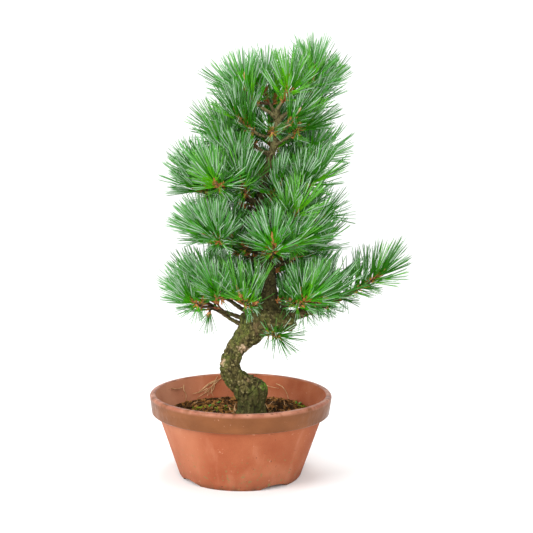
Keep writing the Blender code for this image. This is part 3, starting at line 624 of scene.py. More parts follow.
# %% Shoots, with their finer twigs
FINE_FIRST, FINE_LAST = 0.42, 0.86  # the stretch of a stem that carries finer twigs
SHORT_LIMB, SHORT_FIRST = 0.050, 0.62  # a shorter limb stays bare further out
FINE_SPACING = 0.014
FINE_LENGTH = (0.018, 0.030)
FINE_TURN = (38, 62)
FINE_BRUSH = 0.018
FULL_BRUSH = 0.024  # a shorter brush is weak, and has shorter needles
SPUR_SHARES = (0.24, 0.33, 0.42, 0.51, 0.60)
SPUR_LENGTH = (0.009, 0.014)
SPUR_REACH = 0.050  # a limb that reaches further than this has spurs
BARE_LIMBS = ("low_left", "low_left_back", "low_left_under")
GOLDEN_ANGLE = 137.5
Shoot = namedtuple("Shoot", "limb line radii brush rank")


def line_length(line):
    return sum((b - a).length for a, b in zip(line, line[1:]))


def place_on(line, distance):
    """The place and the heading at a distance along a line of places."""
    left = distance
    for a, b in zip(line, line[1:]):
        step = (b - a).length
        if left <= step or b is line[-1]:
            return a.lerp(b, min(1, left / step)), (b - a).normalized()
        left -= step


def fine_twigs(limb, line, first, last, rank, rng):
    """Short twigs round a stretch of a stem, each with its own brush of needles."""
    whole = line_length(line)
    found = []
    distance = whole * first + rng.uniform(0, FINE_SPACING)
    turn = rng.uniform(0, 360)
    while distance < whole * last:
        root, onward = place_on(line, distance)
        across = Matrix.Rotation(math.radians(turn), 3, onward) @ onward.orthogonal()
        lean = math.radians(rng.uniform(*FINE_TURN))
        aim = onward * math.cos(lean) + across.normalized() * math.sin(lean)
        aim = (aim + Vector((0, 0, 0.20))).normalized()
        if aim.z < -0.1 and limb.tilt > 0:
            distance += FINE_SPACING / 2
            turn += GOLDEN_ANGLE
            continue
        length = min(rng.uniform(*FINE_LENGTH), whole - distance)
        middle = root + aim * length / 2
        aim = (aim + Vector((0, 0, 0.35))).normalized()
        found.append(Shoot(limb, [root, middle, middle + aim * length / 2],
                           [0.0012, 0.0011, 0.0009], min(FINE_BRUSH, length * 0.8), rank))
        distance += FINE_SPACING * rng.uniform(0.8, 1.3)
        turn += GOLDEN_ANGLE
    return found


def spurs(limb, line):
    """Weak short shoots on the bare stretch of a long limb, to the left and the right by turns."""
    rng = random.Random(limb.name + " spurs")
    whole = line_length(line)
    found = []
    hand = rng.choice((-1, 1))
    for share in SPUR_SHARES:
        root, onward = place_on(line, whole * (share + rng.uniform(-0.04, 0.04)))
        aim = heading(limb.compass + hand * rng.uniform(35, 75), rng.uniform(15, 50))
        length = rng.uniform(*SPUR_LENGTH)
        found.append(Shoot(limb, [root, root + aim * length], [0.0011, 0.0008], length * 0.8, 3))
        hand = -hand
    return found


def limb_shoots(limb):
    rng = random.Random(limb.name + " fine")
    shares = [k / 40 for k in range(41)]
    line = [limb_place(limb, share) for share in shares]
    radii = [limb_radius(limb, share) for share in shares]
    found = [Shoot(limb, line, radii, limb.brush, 0)]
    if FULL_BRUSH <= limb.brush < 2 * FULL_BRUSH:
        first = FINE_FIRST if line_length(line) > SHORT_LIMB else SHORT_FIRST
        found += fine_twigs(limb, line, first, FINE_LAST, 2, rng)
        if limb.reach > SPUR_REACH and limb.name not in BARE_LIMBS:
            found += spurs(limb, line)
    for side in side_lines(limb):
        found.append(Shoot(limb, side, [0.0018, 0.0015, 0.0012], SIDE_BRUSH, 1))
        found += fine_twigs(limb, side, FINE_FIRST, FINE_LAST, 2, rng)
    return found


shoots = [shoot for limb in LIMBS for shoot in limb_shoots(limb)]
print("shoots:", len(shoots))

# %% [markdown]
# Bark is broken into plates. A Voronoi cell's edge is where its two nearest seeds are equally
# far, so the difference of the two distances makes the cracks, and the plates stand proud by
# about a millimetre on the trunk. The relief is in the mesh, so it shows on the outline too.

# %% Finishes of bark and twigs
def bark_finish(name, base, dark, light, moss_share):
    bark = Finish(name, 0.9, 0.15)
    grey = bark.mix(bark.mask(210, 0.40, 0.62, stretch=(1, 1, 0.6)), dark, base)
    flecked = bark.mix(bark.mask(330, 0.57, 0.66, offset=(4, 4, 1)), grey, light)
    moss = bark.times(bark.mask(75, 0.46, 0.60, offset=(9, 2, 5)), moss_share)
    green = bark.mix(bark.mask(400, 0.42, 0.60), (0.045, 0.060, 0.012), (0.150, 0.170, 0.036))
    mossy = bark.mix(moss, flecked, green)
    bright = bark.mix(bark.attribute("mossed"), mossy, (0.110, 0.200, 0.020))
    bare = bark.mix(bark.mask(380, 0.40, 0.58, stretch=(1, 1, 0.4)), (0.24, 0.150, 0.070), (0.58, 0.42, 0.27))
    high = bark.mix(bark.times(bark.rising(0.33, 0.41), 0.7), bright, (0.230, 0.200, 0.090))
    low = bark.times(bark.rising(0.112, 0.084), 0.65)
    high = bark.mix(low, high, bark.mix(bark.mask(300, 0.40, 0.62, stretch=(1, 1, 0.3)), (0.022, 0.022, 0.007), (0.075, 0.078, 0.022)))
    shaded = bark.times(bark.rising(0.180, 0.205), bark.times(bark.rising(0.360, 0.300), 0.55))
    high = bark.mix(shaded, high, (0.036, 0.030, 0.012))
    flaked = bark.mix(bark.attribute("flaked"), high, bare)
    bark.colour(bark.mix(bark.attribute("crack"), flaked, (0.020, 0.016, 0.008)))
    bark.bump(bark.mask(700, 0.25, 0.75, detail=4, stretch=(1, 1, 0.5)), 0.0006)
    return bark.material


def shoot_finish():
    young = Finish("shoot_bark", 0.7, 0.25)
    young.colour(young.mix(young.mask(300, 0.38, 0.66), (0.150, 0.045, 0.016), (0.360, 0.120, 0.036)))
    young.bump(young.mask(900, 0.3, 0.7, detail=3), 0.0003)
    return young.material


old_bark = bark_finish("old_bark", (0.125, 0.105, 0.036), (0.034, 0.029, 0.008), (0.30, 0.25, 0.11), 0.75)
branch_bark = bark_finish("branch_bark", (0.135, 0.095, 0.042), (0.040, 0.028, 0.012), (0.28, 0.20, 0.10), 0.4)
shoot_bark = shoot_finish()
twig_bark = Finish("twig_bark", 0.85, 0.2)
twig_bark.colour(twig_bark.mix(twig_bark.mask(260, 0.4, 0.64), (0.055, 0.035, 0.018), (0.210, 0.120, 0.060)))
twig_bark = twig_bark.material
print("bark finishes made")


# %% The trunk and the boughs
TRUNK_RINGS = 400
TRUNK_SIDES = 88
COURSE_WINDOW = round(TRUNK_RINGS * 2 / 37)  # rings on both sides, as far as in the solid
Knob = namedtuple("Knob", "x y z width rise")
Flake = namedtuple("Flake", "x y z width")
FLAKES = (
    Flake(0.0016, -0.009, 0.152, 0.007),
    Flake(0.0096, -0.004, 0.146, 0.007),
    Flake(-0.0194, -0.009, 0.134, 0.006),
    Flake(-0.0074, 0.006, 0.112, 0.006),
    Flake(0.0086, -0.015, 0.116, 0.004),
)
KNOBS = (
    Knob(0.0266, -0.002, 0.103, 0.011, 0.0052),
    Knob(-0.0194, -0.010, 0.125, 0.007, 0.0015),
    Knob(-0.0054, -0.012, 0.160, 0.008, 0.0018),
    Knob(0.0026, 0.000, 0.186, 0.008, 0.0025),
    Knob(0.0206, -0.014, 0.176, 0.010, 0.0020),
    Knob(-0.0004, 0.014, 0.104, 0.010, 0.0022),
    Knob(0.0406, -0.003, 0.187, 0.0140, 0.0290),
)
GREEN_EDGE = Flake(0.0306, -0.004, 0.108, 0.011)
ROOTS = 5
ROOT_PHASE = 0.7
ROOT_SWELL = 0.14
ROOT_HEIGHT = 0.014
PLATE = 0.0068
PLATE_RELIEF = 0.0021
CRACK_DEPTH = 0.30
THICK = 0.017
FOOT_TOP = 0.100


def plates(place, size):
    """0 in a crack between plates of bark and 1 on a plate. Plates are long at the foot."""
    long_part = max(0, FOOT_TOP - place.z)
    spot = Vector((place.x, place.y, place.z * 0.6 + long_part * 0.35)) / size
    near, next_near = noise.voronoi(spot)[0][:2]
    return min(1, (next_near - near) / 0.32)


def bark_relief(place, out, radius):
    surface = Vector(place) + out * radius
    scale = min(1, radius / THICK) ** 0.6
    plate = plates(surface, PLATE * (0.45 + 0.55 * scale))
    lumps = noise.noise(surface * 90)
    grain = noise.noise(surface * 420)
    return scale * (PLATE_RELIEF * (plate - 0.75) + 0.0007 * lumps + 0.00025 * grain)


def trunk_parts():
    rows = [(station.x, station.y, station.height) for station in TRUNK]
    widths = [(station.radius, 0, 0) for station in TRUNK]
    shares = [k / (TRUNK_RINGS - 1) for k in range(TRUNK_RINGS)]
    places = [blend_rows(rows, share) for share in shares]
    radii = [blend_rows(widths, share).x for share in shares]
    foot = places[0].copy()
    gathered = Parts()
    points, faces = tube(places, radii, TRUNK_SIDES, bark_relief, COURSE_WINDOW)
    for n, point in enumerate(points[:TRUNK_RINGS * TRUNK_SIDES]):
        out = (point - places[n // TRUNK_SIDES]).normalized()
        for knob in KNOBS:
            away = (point - Vector((knob.x, knob.y, knob.z))).length / knob.width
            point += out * knob.rise * math.exp(-away * away)
    for point in points:
        low = max(0, 1 - (point.z - foot.z) / ROOT_HEIGHT)
        out = point.xy - foot.xy
        ridge = 0.5 + 0.5 * math.cos(ROOTS * math.atan2(out.y, out.x) + ROOT_PHASE)
        point.xy = foot.xy + out * (1 + ROOT_SWELL * ridge * low)
        point.z = max(point.z, foot.z - 0.0006)
    gathered.add(points, faces)
    return gathered


def mark_bark(mesh):
    """Stores on the mesh where the cracks are, and where the outer bark has flaked off."""
    cracks = mesh.attributes.new("crack", "FLOAT", "POINT")
    flakes = mesh.attributes.new("flaked", "FLOAT", "POINT")
    tufts = mesh.attributes.new("mossed", "FLOAT", "POINT")
    for n, vertex in enumerate(mesh.vertices):
        cracks.data[n].value = max(0, 1 - plates(vertex.co, PLATE) / CRACK_DEPTH)
        ragged = 0.9 * noise.noise(vertex.co * 330) + 0.5 * noise.noise(vertex.co * 900)
        near = [(vertex.co - Vector(flake[:3])).length / flake.width for flake in FLAKES]
        flakes.data[n].value = min(1, max(0, (0.95 - min(near) + ragged) * 2.2))
        away = (vertex.co - Vector(GREEN_EDGE[:3])).length / GREEN_EDGE.width
        tufts.data[n].value = min(1, max(0, (1.0 - away + ragged) * 2))


trunk = add_piece("trunk_bark", trunk_parts().mesh("trunk_bark"), [old_bark])
mark_bark(trunk.data)
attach(trunk, "root")
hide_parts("trunk")


WINDING = 0.0013


def wound(line):
    """A limb's line, moved aside by a millimetre here and there as a grown branch is."""
    moved = []
    for k, place in enumerate(line):
        aside = noise.noise_vector(place * 75) * WINDING * math.sin(math.pi * k / (len(line) - 1))
        moved.append(place + aside)
    return moved


def collar(limb, share):
    """How much a limb swells where it leaves the trunk."""
    return 1 + 0.9 * math.exp(-(share / 0.10) ** 2)


boughs = Parts()
for shoot in shoots:
    if shoot.rank == 0:
        swollen = [1.08 * r * collar(shoot.limb, k / 40) for k, r in enumerate(shoot.radii)]
        boughs.add(*tube(wound(shoot.line), swollen, 14, bark_relief))
bough_piece = add_piece("bough_bark", boughs.mesh("bough_bark"), [branch_bark])
mark_bark(bough_piece.data)
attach(bough_piece, "root")
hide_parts(*sorted(node for node in nodes if node.startswith("bough_")))
print("trunk faces:", len(trunk.data.polygons), "bough faces:", len(bough_piece.data.polygons))

# %% [markdown]
# The young shoots are reddish, and where needles stood before, the bark keeps small raised
# bases. Each shoot is a short tube over the end of its stem. The leading shoots end in a candle,
# the pale new growth of spring, and the others in a small bud.

# %% Twigs, candles and buds
candle_look = Finish("candle_skin", 0.6)
candle_look.colour(candle_look.mix(candle_look.mask(420, 0.4, 0.6), (0.50, 0.20, 0.055), (0.66, 0.33, 0.11)))
candle_look.bump(candle_look.mask(900, 0.3, 0.7, stretch=(1, 1, 0.4)), 0.0003)

twigs = Parts()
candles = Parts()


def shoot_end(shoot):
    """The stretch of the shoot that bears needles, as a finely divided line."""
    whole = line_length(shoot.line)
    length = min(shoot.brush + 0.004, whole)
    steps = 14
    return [place_on(shoot.line, whole - length + length * k / steps)[0] for k in range(steps + 1)]


for shoot in shoots:
    rng = random.Random(f"twig {shoot.limb.name} {shoot.line[0]}")
    end = shoot_end(shoot)
    weak_limb = shoot.limb.brush < 0.8 * FULL_BRUSH
    base_radius = 0.0011 if weak_limb else (0.0017, 0.0014, 0.0010, 0.0009)[shoot.rank]
    radii = [base_radius * (1.0 - 0.35 * k / 14) * rng.uniform(0.88, 1.12) for k in range(15)]
    twigs.add(*tube(end, radii, 7), 0 if weak_limb else 1)
    if shoot.rank:
        twigs.add(*tube(shoot.line, shoot.radii, 6), 0)
    tip, onward = end[-1], (end[-1] - end[-2]).normalized()
    up = (onward + Vector((0, 0.2 * onward.y, 0.8))).normalized()
    if shoot.rank == 0 and not weak_limb:
        length, girth = rng.uniform(0.012, 0.017), 0.00165
    else:
        length, girth = rng.uniform(0.003, 0.006), 0.0012
    line = [tip + up * length * k / 8 for k in range(-1, 9)]
    widths = [0.8, 1.0, 1.15, 1.2, 1.15, 1.05, 0.9, 0.72, 0.48, 0.15]
    candles.add(*tube(line, [girth * w for w in widths], 8))

twig_piece = add_piece("twigs", twigs.mesh("twigs"), [twig_bark, shoot_bark])
candle_piece = add_piece("candles", candles.mesh("candles"), [candle_look.material])
for piece, slot in ((twig_piece, "bark"), (candle_piece, "needles")):
    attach(piece, "root")
print("twig faces:", len(twig_piece.data.polygons), "candle faces:", len(candle_piece.data.polygons))

# %% [markdown]
# The needles stand in bundles of five. A needle's section is a triangle: the outer face is
# green and the two inner faces are blue-white, so a tuft looks green from one side and silvery
# from another. All needles are made at once from arrays of roots and directions.

# %% Finishes of the needles
def needle_finish(name, colour, roughness):
    made = Finish(name, roughness)
    made.colour(colour)
    made.shader.inputs["Specular IOR Level"].default_value = 0.12
    return made.material


needle_looks = [
    needle_finish("needle_bright", (0.115, 0.440, 0.007), 0.45),
    needle_finish("needle_middle", (0.060, 0.340, 0.006), 0.45),
    needle_finish("needle_deep", (0.028, 0.180, 0.004), 0.45),
    needle_finish("needle_silver", (0.320, 0.470, 0.310), 0.55),
    needle_finish("outer_bright", (0.106, 0.350, 0.038), 0.50),
    needle_finish("outer_middle", (0.078, 0.285, 0.048), 0.50),
    needle_finish("outer_deep", (0.040, 0.165, 0.018), 0.50),
]
SILVER, OUTER = 3, 4

# %% Where the bundles of needles stand
NEEDLE_LENGTH = 0.0472
SHORTEST_NEEDLES, LONGEST_NEEDLES = 0.92, 1.06
WEAK_SHARE, SPUR_SHARE = 0.82, 0.68  # the needles' length on the finer twigs and on the spurs
TIP_LEAN, BASE_LEAN = 18, 66
WEAK_LEAN = 100  # the needles of a weak limb stand out all round
LEAN_SPREAD = 8
LEAN_LENGTH = 0.019
UPTURN = 0.22
UNDER_SHORTER = 0.62  # how much shorter the needles on the underside of a shoot are
UNDER_SHARE = 0.60  # how many of them are left
OLD_FROM, OLD_SHARE = 0.45, 0.30  # the inner end of a brush, where this share stands out all round
OLD_LEAN, OLD_LENGTH = (75, 125), (0.36, 0.60)
LOWEST_LIMBS = 0.190  # limbs that leave the trunk below this height keep more old needles
BUNDLE_SPACING = 0.00081
BRIGHT_LIMBS = ("low_front_left", "right_front", "top_centre")
LOOSE = 2.4  # how much wider the bundles of old and weak shoots open
Bundle = namedtuple("Bundle", "root aim length tint opening")


def bundles_of(shoot):
    rng = random.Random(f"needles {shoot.limb.name} {shoot.line[0]}")
    whole = line_length(shoot.line)
    turn = rng.uniform(0, 360)
    weak_limb = shoot.limb.brush < 0.8 * FULL_BRUSH or shoot.limb.tilt < 0
    hanging = shoot.limb.tilt < -60
    # Painted shade: the spurs inside the crown and the weak and hanging limbs always take the deep tint, as the
    # dark inside and underside of the crown.
    tint = 2 if weak_limb or shoot.rank == 3 else rng.choices((0, 1, 2), (1, 5, 3))[0]
    if shoot.rank == 0 and shoot.limb.name in BRIGHT_LIMBS:
        tint = 0
    vigour = min(1, shoot.brush / FULL_BRUSH) if shoot.rank == 0 else 1
    old_share = 2 * OLD_SHARE if weak_limb or shoot.limb.leave < LOWEST_LIMBS else OLD_SHARE
    if hanging:
        vigour *= 0.8
    if shoot.rank >= 2:
        weak = WEAK_SHARE if shoot.rank == 2 else SPUR_SHARE
        vigour = weak * min(1, shoot.limb.brush / FULL_BRUSH)
    count = max(6, round(shoot.brush / BUNDLE_SPACING * (0.6 if hanging else 1)))
    base_lean = WEAK_LEAN if weak_limb else BASE_LEAN
    found = []
    for k in range(count):
        back = shoot.brush * (k + rng.random()) / count
        root, onward = place_on(shoot.line, max(0, whole - back))
        lean = TIP_LEAN + (base_lean - TIP_LEAN) * min(1, back / LEAN_LENGTH)
        lean = math.radians(lean + rng.uniform(-LEAN_SPREAD, LEAN_SPREAD))
        around = Matrix.Rotation(math.radians(turn + GOLDEN_ANGLE * k), 3, onward)
        across = (around @ onward.orthogonal()).normalized()
        under = 0.5 - 0.5 * across.z if onward.z > -0.1 else 0
        under *= min(1, back / LEAN_LENGTH)
        if back > OLD_FROM * shoot.brush and rng.random() < old_share:
            lean = math.radians(rng.uniform(*OLD_LEAN))
            aim = onward * math.cos(lean) + across * math.sin(lean)
            length = NEEDLE_LENGTH * vigour * rng.uniform(*OLD_LENGTH)
            found.append(Bundle(root, aim, length, rng.choice((1, 2)), LOOSE))
            continue
        if rng.random() < under * (1 - UNDER_SHARE):
            continue
        length = NEEDLE_LENGTH * rng.uniform(SHORTEST_NEEDLES, LONGEST_NEEDLES)
        length *= vigour * (1 - UNDER_SHORTER * under * under * math.sin(lean))
        aim = onward * math.cos(lean) + across * math.sin(lean)
        lift = UPTURN if onward.z > -0.1 else 0
        aim = (aim + Vector((0, 0, lift))).normalized()
        opening = LOOSE if weak_limb else 1
        mixed = not weak_limb and rng.random() > 0.7
        found.append(Bundle(root, aim, length, rng.choice((0, 1, 2)) if mixed else tint, opening))
    return found


# %% The needles
BUNDLE_OPENING = 0.065
NEEDLE_WIDTH = 0.00058
SLIM_LENGTH = 0.040  # shorter needles are slimmer too
SILVER_SHARES = np.array([0.34, 0.64, 0.50])  # by tint: how many needles are silvery inside
RINGS = np.array([0.0, 0.48, 0.92])
RING_WIDTHS = np.array([0.9, 1.05, 0.75])
CORNERS = np.radians([60, -60, 180])
BOX_ALLOWANCE = 0.003
Opening = namedtuple("Opening", "x height across high front back")
OPENINGS = (  # as seen from the front: where the sky shows, or the trunk behind the needles
    Opening(-0.020, 0.196, 0.023, 0.011, -1, 1),
    Opening(-0.050, 0.262, 0.005, 0.003, -1, 1),
    Opening(-0.068, 0.279, 0.006, 0.003, -1, 1),
    Opening(0.117, 0.252, 0.009, 0.008, -1, 1),
    Opening(0.027, 0.406, 0.004, 0.006, -0.015, 1),
    Opening(0.036, 0.421, 0.013, 0.010, -1, 0.003),
    Opening(0.033, 0.212, 0.009, 0.022, -1, -0.002),
)
OPEN_SHARE = 0.9
STAND = (-0.0034, -1.600, 0.4808)  # where the camera stands


def passes_opening(roots, ways, lengths):
    """True for each needle that crosses an opening, as seen from where the camera stands."""
    crossing = np.zeros(len(roots), bool)
    for share in (0.25, 0.5, 0.75, 1.0):
        spots = roots + ways * (share * lengths)[:, None]
        scale = -STAND[1] / (spots[:, 1] - STAND[1])
        x = STAND[0] + (spots[:, 0] - STAND[0]) * scale
        height = STAND[2] + (spots[:, 2] - STAND[2]) * scale
        for gap in OPENINGS:
            off = ((x - gap.x) / gap.across) ** 2 + ((height - gap.height) / gap.high) ** 2
            crossing |= (off < 1) & (spots[:, 1] > gap.front) & (spots[:, 1] < gap.back)
    return crossing


def left_of(bundles, seed):
    """The bundles that leave the openings free, or nearly all of them."""
    rng = np.random.default_rng(seed)
    roots = np.array([bundle.root for bundle in bundles])
    aims = np.array([bundle.aim for bundle in bundles])
    crossing = passes_opening(roots, aims, np.array([bundle.length for bundle in bundles]))
    kept = ~crossing | (rng.random(len(bundles)) > OPEN_SHARE)
    return [bundle for bundle, stays in zip(bundles, kept) if stays]


def longest_inside(roots, ways):
    """How long needles can be before their tips leave the box of the solids by a little."""
    lowest = np.array(cad_box[0]) - BOX_ALLOWANCE
    highest = np.array(cad_box[1]) + BOX_ALLOWANCE
    room = np.where(ways > 0, highest - roots, roots - lowest) / np.maximum(np.abs(ways), 1e-6)
    return room.min(axis=1)


def needle_mesh(name, bundles, seed):
    """All the needles of many bundles as one mesh of slim three-sided spikes."""
    rng = np.random.default_rng(seed)
    aims = np.repeat(np.array([bundle.aim for bundle in bundles]), 5, axis=0)
    roots = np.repeat(np.array([bundle.root for bundle in bundles]), 5, axis=0)
    lengths = np.repeat(np.array([bundle.length for bundle in bundles]), 5)
    tints = np.repeat(np.array([bundle.tint for bundle in bundles]), 5)
    count = len(aims)
    lengths = lengths * rng.uniform(0.93, 1.04, count)
    side = np.cross(aims, [0.31, 0.17, 0.93])
    side /= np.linalg.norm(side, axis=1)[:, None]
    other = np.cross(aims, side)
    first = np.repeat(rng.uniform(0, 2 * np.pi, count // 5), 5)
    turn = first + np.tile(np.arange(5) * 2 * np.pi / 5, count // 5)
    out = np.cos(turn)[:, None] * side + np.sin(turn)[:, None] * other
    opening = BUNDLE_OPENING * rng.uniform(0.3, 1.6, count)
    opening *= np.repeat(np.array([bundle.opening for bundle in bundles]), 5)
    ahead = aims + out * opening[:, None]
    ahead /= np.linalg.norm(ahead, axis=1)[:, None]
    flat = np.linalg.norm(ahead[:, :2], axis=1)
    bend = out * rng.uniform(-0.03, 0.07, count)[:, None]
    bend[:, 2] += rng.uniform(0.00, 0.20, count) * flat
    lengths = np.minimum(lengths, longest_inside(roots, ahead + bend))
    kept = ~passes_opening(roots, ahead + bend, lengths) | (rng.random(count) > OPEN_SHARE)
    roots, ahead, bend, out, lengths, tints = (v[kept] for v in (roots, ahead, bend, out, lengths, tints))
    count = len(roots)
    along = np.cross(ahead, out)
    along /= np.linalg.norm(along, axis=1)[:, None]
    outward = np.cross(along, ahead)
    thick = NEEDLE_WIDTH * np.clip(lengths / SLIM_LENGTH, 0.55, 1)[:, None]
    places = np.zeros((count, 10, 3))
    for ring, (share, width) in enumerate(zip(RINGS, RING_WIDTHS)):
        centre = roots + lengths[:, None] * (ahead * share + bend * share * share)
        for corner, angle in enumerate(CORNERS):
            offset = np.cos(angle) * outward + np.sin(angle) * along
            places[:, 3 * ring + corner] = centre + thick * width * offset
    places[:, 9] = roots + lengths[:, None] * (ahead + bend)
    faces, inner, outer = [], [], []
    for ring in range(2):
        for corner in range(3):
            a, b = 3 * ring + corner, 3 * ring + (corner + 1) % 3
            faces += [(a, b, b + 3), (a, b + 3, a + 3)]
            inner += [corner > 0 and ring > 0] * 2
            outer += [ring > 0] * 2
    for corner in range(3):
        faces.append((6 + corner, 6 + (corner + 1) % 3, 9))
        inner.append(corner > 0)
        outer.append(True)
    faces.append((2, 1, 0))
    inner.append(False)
    outer.append(False)
    faces = np.array(faces)
    whole = (faces[None] + 10 * np.arange(count)[:, None, None]).reshape(-1, 3)
    silver = np.array(inner)[None, :] & (rng.random(count) < SILVER_SHARES[tints])[:, None]
    numbers = np.where(silver, SILVER, tints[:, None] + OUTER * np.array(outer)[None, :]).reshape(-1)
    return mesh_of(name, places.reshape(-1, 3), whole, numbers)


GROUPS = {
    "needles_top": ("top_", "upper_"),
    "needles_middle": ("left_shoulder", "left_middle", "front_left_middle", "front_middle",
                       "right_middle", "right_back_middle", "right_front", "right_low_middle"),
    "needles_back": ("back_",),
    "needles_lower": ("left_lower", "front_lower", "right_lower", "right_low_back", "long_right"),
    "needles_foot": ("low_", "under_right"),
}
total = 0
sheathed = []
for number, (name, starts) in enumerate(GROUPS.items()):
    limbs = [limb.name for limb in LIMBS if limb.name.startswith(starts)]
    bundles = [b for shoot in shoots if shoot.limb.name in limbs for b in bundles_of(shoot)]
    bundles = left_of(bundles, number)
    mesh = needle_mesh(name, bundles, number)
    piece = add_piece(name, mesh, needle_looks)
    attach(piece, "root")
    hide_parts(*limbs)
    total += len(mesh.polygons)
    sheathed += bundles
    print(name, "bundles:", len(bundles), "triangles:", len(mesh.polygons))
print("needle triangles:", total)

# %% The sheaths at the foot of the bundles
SHEATH_LENGTH, SHEATH_WIDTH = 0.0060, 0.00105


def sheath_mesh(bundles):
    """A short three-sided peg for each bundle, all in one mesh."""
    aims = np.array([bundle.aim for bundle in bundles])
    roots = np.array([bundle.root for bundle in bundles])
    side = np.cross(aims, [0.31, 0.17, 0.93])
    side /= np.linalg.norm(side, axis=1)[:, None]
    other = np.cross(aims, side)
    places = np.zeros((len(aims), 6, 3))
    for end in range(2):
        for corner, angle in enumerate(CORNERS):
            offset = np.cos(angle) * side + np.sin(angle) * other
            places[:, 3 * end + corner] = roots + end * SHEATH_LENGTH * aims + SHEATH_WIDTH * offset
    faces = [(2, 1, 0), (3, 4, 5)]
    for corner in range(3):
        a, b = corner, (corner + 1) % 3
        faces += [(a, b, b + 3), (a, b + 3, a + 3)]
    whole = (np.array(faces)[None] + 6 * np.arange(len(aims))[:, None, None]).reshape(-1, 3)
    return mesh_of("sheaths", places.reshape(-1, 3), whole)


sheath_look = Finish("sheath_skin", 0.7)
sheath_look.colour((0.44, 0.150, 0.035))
sheaths = add_piece("sheaths", sheath_mesh(sheathed), [sheath_look.material])
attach(sheaths, "root")
print("sheath triangles:", len(sheaths.data.polygons))

# %% [markdown]
# The soil is a mix of dark grains with moss on it. Its surface follows the same low mounds as
# the solid. Grains are scattered over it by Geometry Nodes: the tree spreads points over the
# surface, puts a small rough stone on each, and realises them all.

# %% The soil's surface
LEVEL_RADIUS = 0.023
Mound = namedtuple("Mound", "x y width rise")
MOUNDS = (
    Mound(0.040, 0.045, 0.030, 0.0055),
    Mound(-0.045, 0.030, 0.034, 0.0030),
    Mound(-0.030, -0.060, 0.030, -0.0020),
)


def ground(x, y):
    """The soil's height at a place, level round the trunk's foot."""
    foot = Vector((TRUNK[0].x, TRUNK[0].y))
    away = (Vector((x, y)) - foot).length
    share = min(1, max(0, (away - LEVEL_RADIUS) / LEVEL_RADIUS))
    rise = 0
    for mound in MOUNDS:
        off = Vector((x - mound.x, y - mound.y)).length / mound.width
        rise += mound.rise * math.exp(-off * off)
    return SOIL_TOP + rise * share * share * (3 - 2 * share)


def soil_finish():
    soil = Finish("damp_soil", 0.95, 0.1)
    brown = soil.mix(soil.mask(260, 0.4, 0.62), (0.016, 0.007, 0.002), (0.070, 0.034, 0.010))
    soil.colour(soil.mix(soil.mask(70, 0.62, 0.70, offset=(2, 6, 0)), brown, (0.060, 0.070, 0.010)))
    soil.bump(soil.mask(600, 0.3, 0.7, detail=5), 0.0008)
    return soil.material


soil_material = soil_finish()
edge = inner_radius(SOIL_TOP) - 0.0006
soil_points, soil_faces = [Vector((0, 0, ground(0, 0)))], []
SOIL_RINGS, SOIL_SPOKES = 60, 150
for ring in range(1, SOIL_RINGS + 1):
    for spoke in range(SOIL_SPOKES):
        turn = 2 * math.pi * spoke / SOIL_SPOKES
        x, y = edge * ring / SOIL_RINGS * math.cos(turn), edge * ring / SOIL_RINGS * math.sin(turn)
        rough = 0.0012 * noise.noise(Vector((x, y, 0)) * 160) + 0.0006 * noise.noise(Vector((x, y, 3)) * 500)
        soil_points.append(Vector((x, y, ground(x, y) + rough)))
for spoke in range(SOIL_SPOKES):
    soil_faces.append((0, 1 + spoke, 1 + (spoke + 1) % SOIL_SPOKES))
    for ring in range(SOIL_RINGS - 1):
        a, b = 1 + ring * SOIL_SPOKES + spoke, 1 + ring * SOIL_SPOKES + (spoke + 1) % SOIL_SPOKES
        soil_faces.append((a, a + SOIL_SPOKES, b + SOIL_SPOKES, b))
low = FLOOR + 0.0006
first = len(soil_points)
for spoke in range(SOIL_SPOKES):
    turn = 2 * math.pi * spoke / SOIL_SPOKES
    reach = inner_radius(FLOOR) - FLOOR_CHAMFER - 0.001
    soil_points.append(Vector((reach * math.cos(turn), reach * math.sin(turn), low)))
rim = 1 + (SOIL_RINGS - 1) * SOIL_SPOKES
for spoke in range(SOIL_SPOKES):
    onward = (spoke + 1) % SOIL_SPOKES
    soil_faces.append((rim + spoke, first + spoke, first + onward, rim + onward))
soil_faces.append(tuple(reversed(range(first, first + SOIL_SPOKES))))
soil = add_piece("soil_surface", mesh_of("soil_surface", soil_points, soil_faces, smooth=True), [soil_material])
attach(soil, "root")
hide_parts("soil")
print("soil faces:", len(soil.data.polygons))


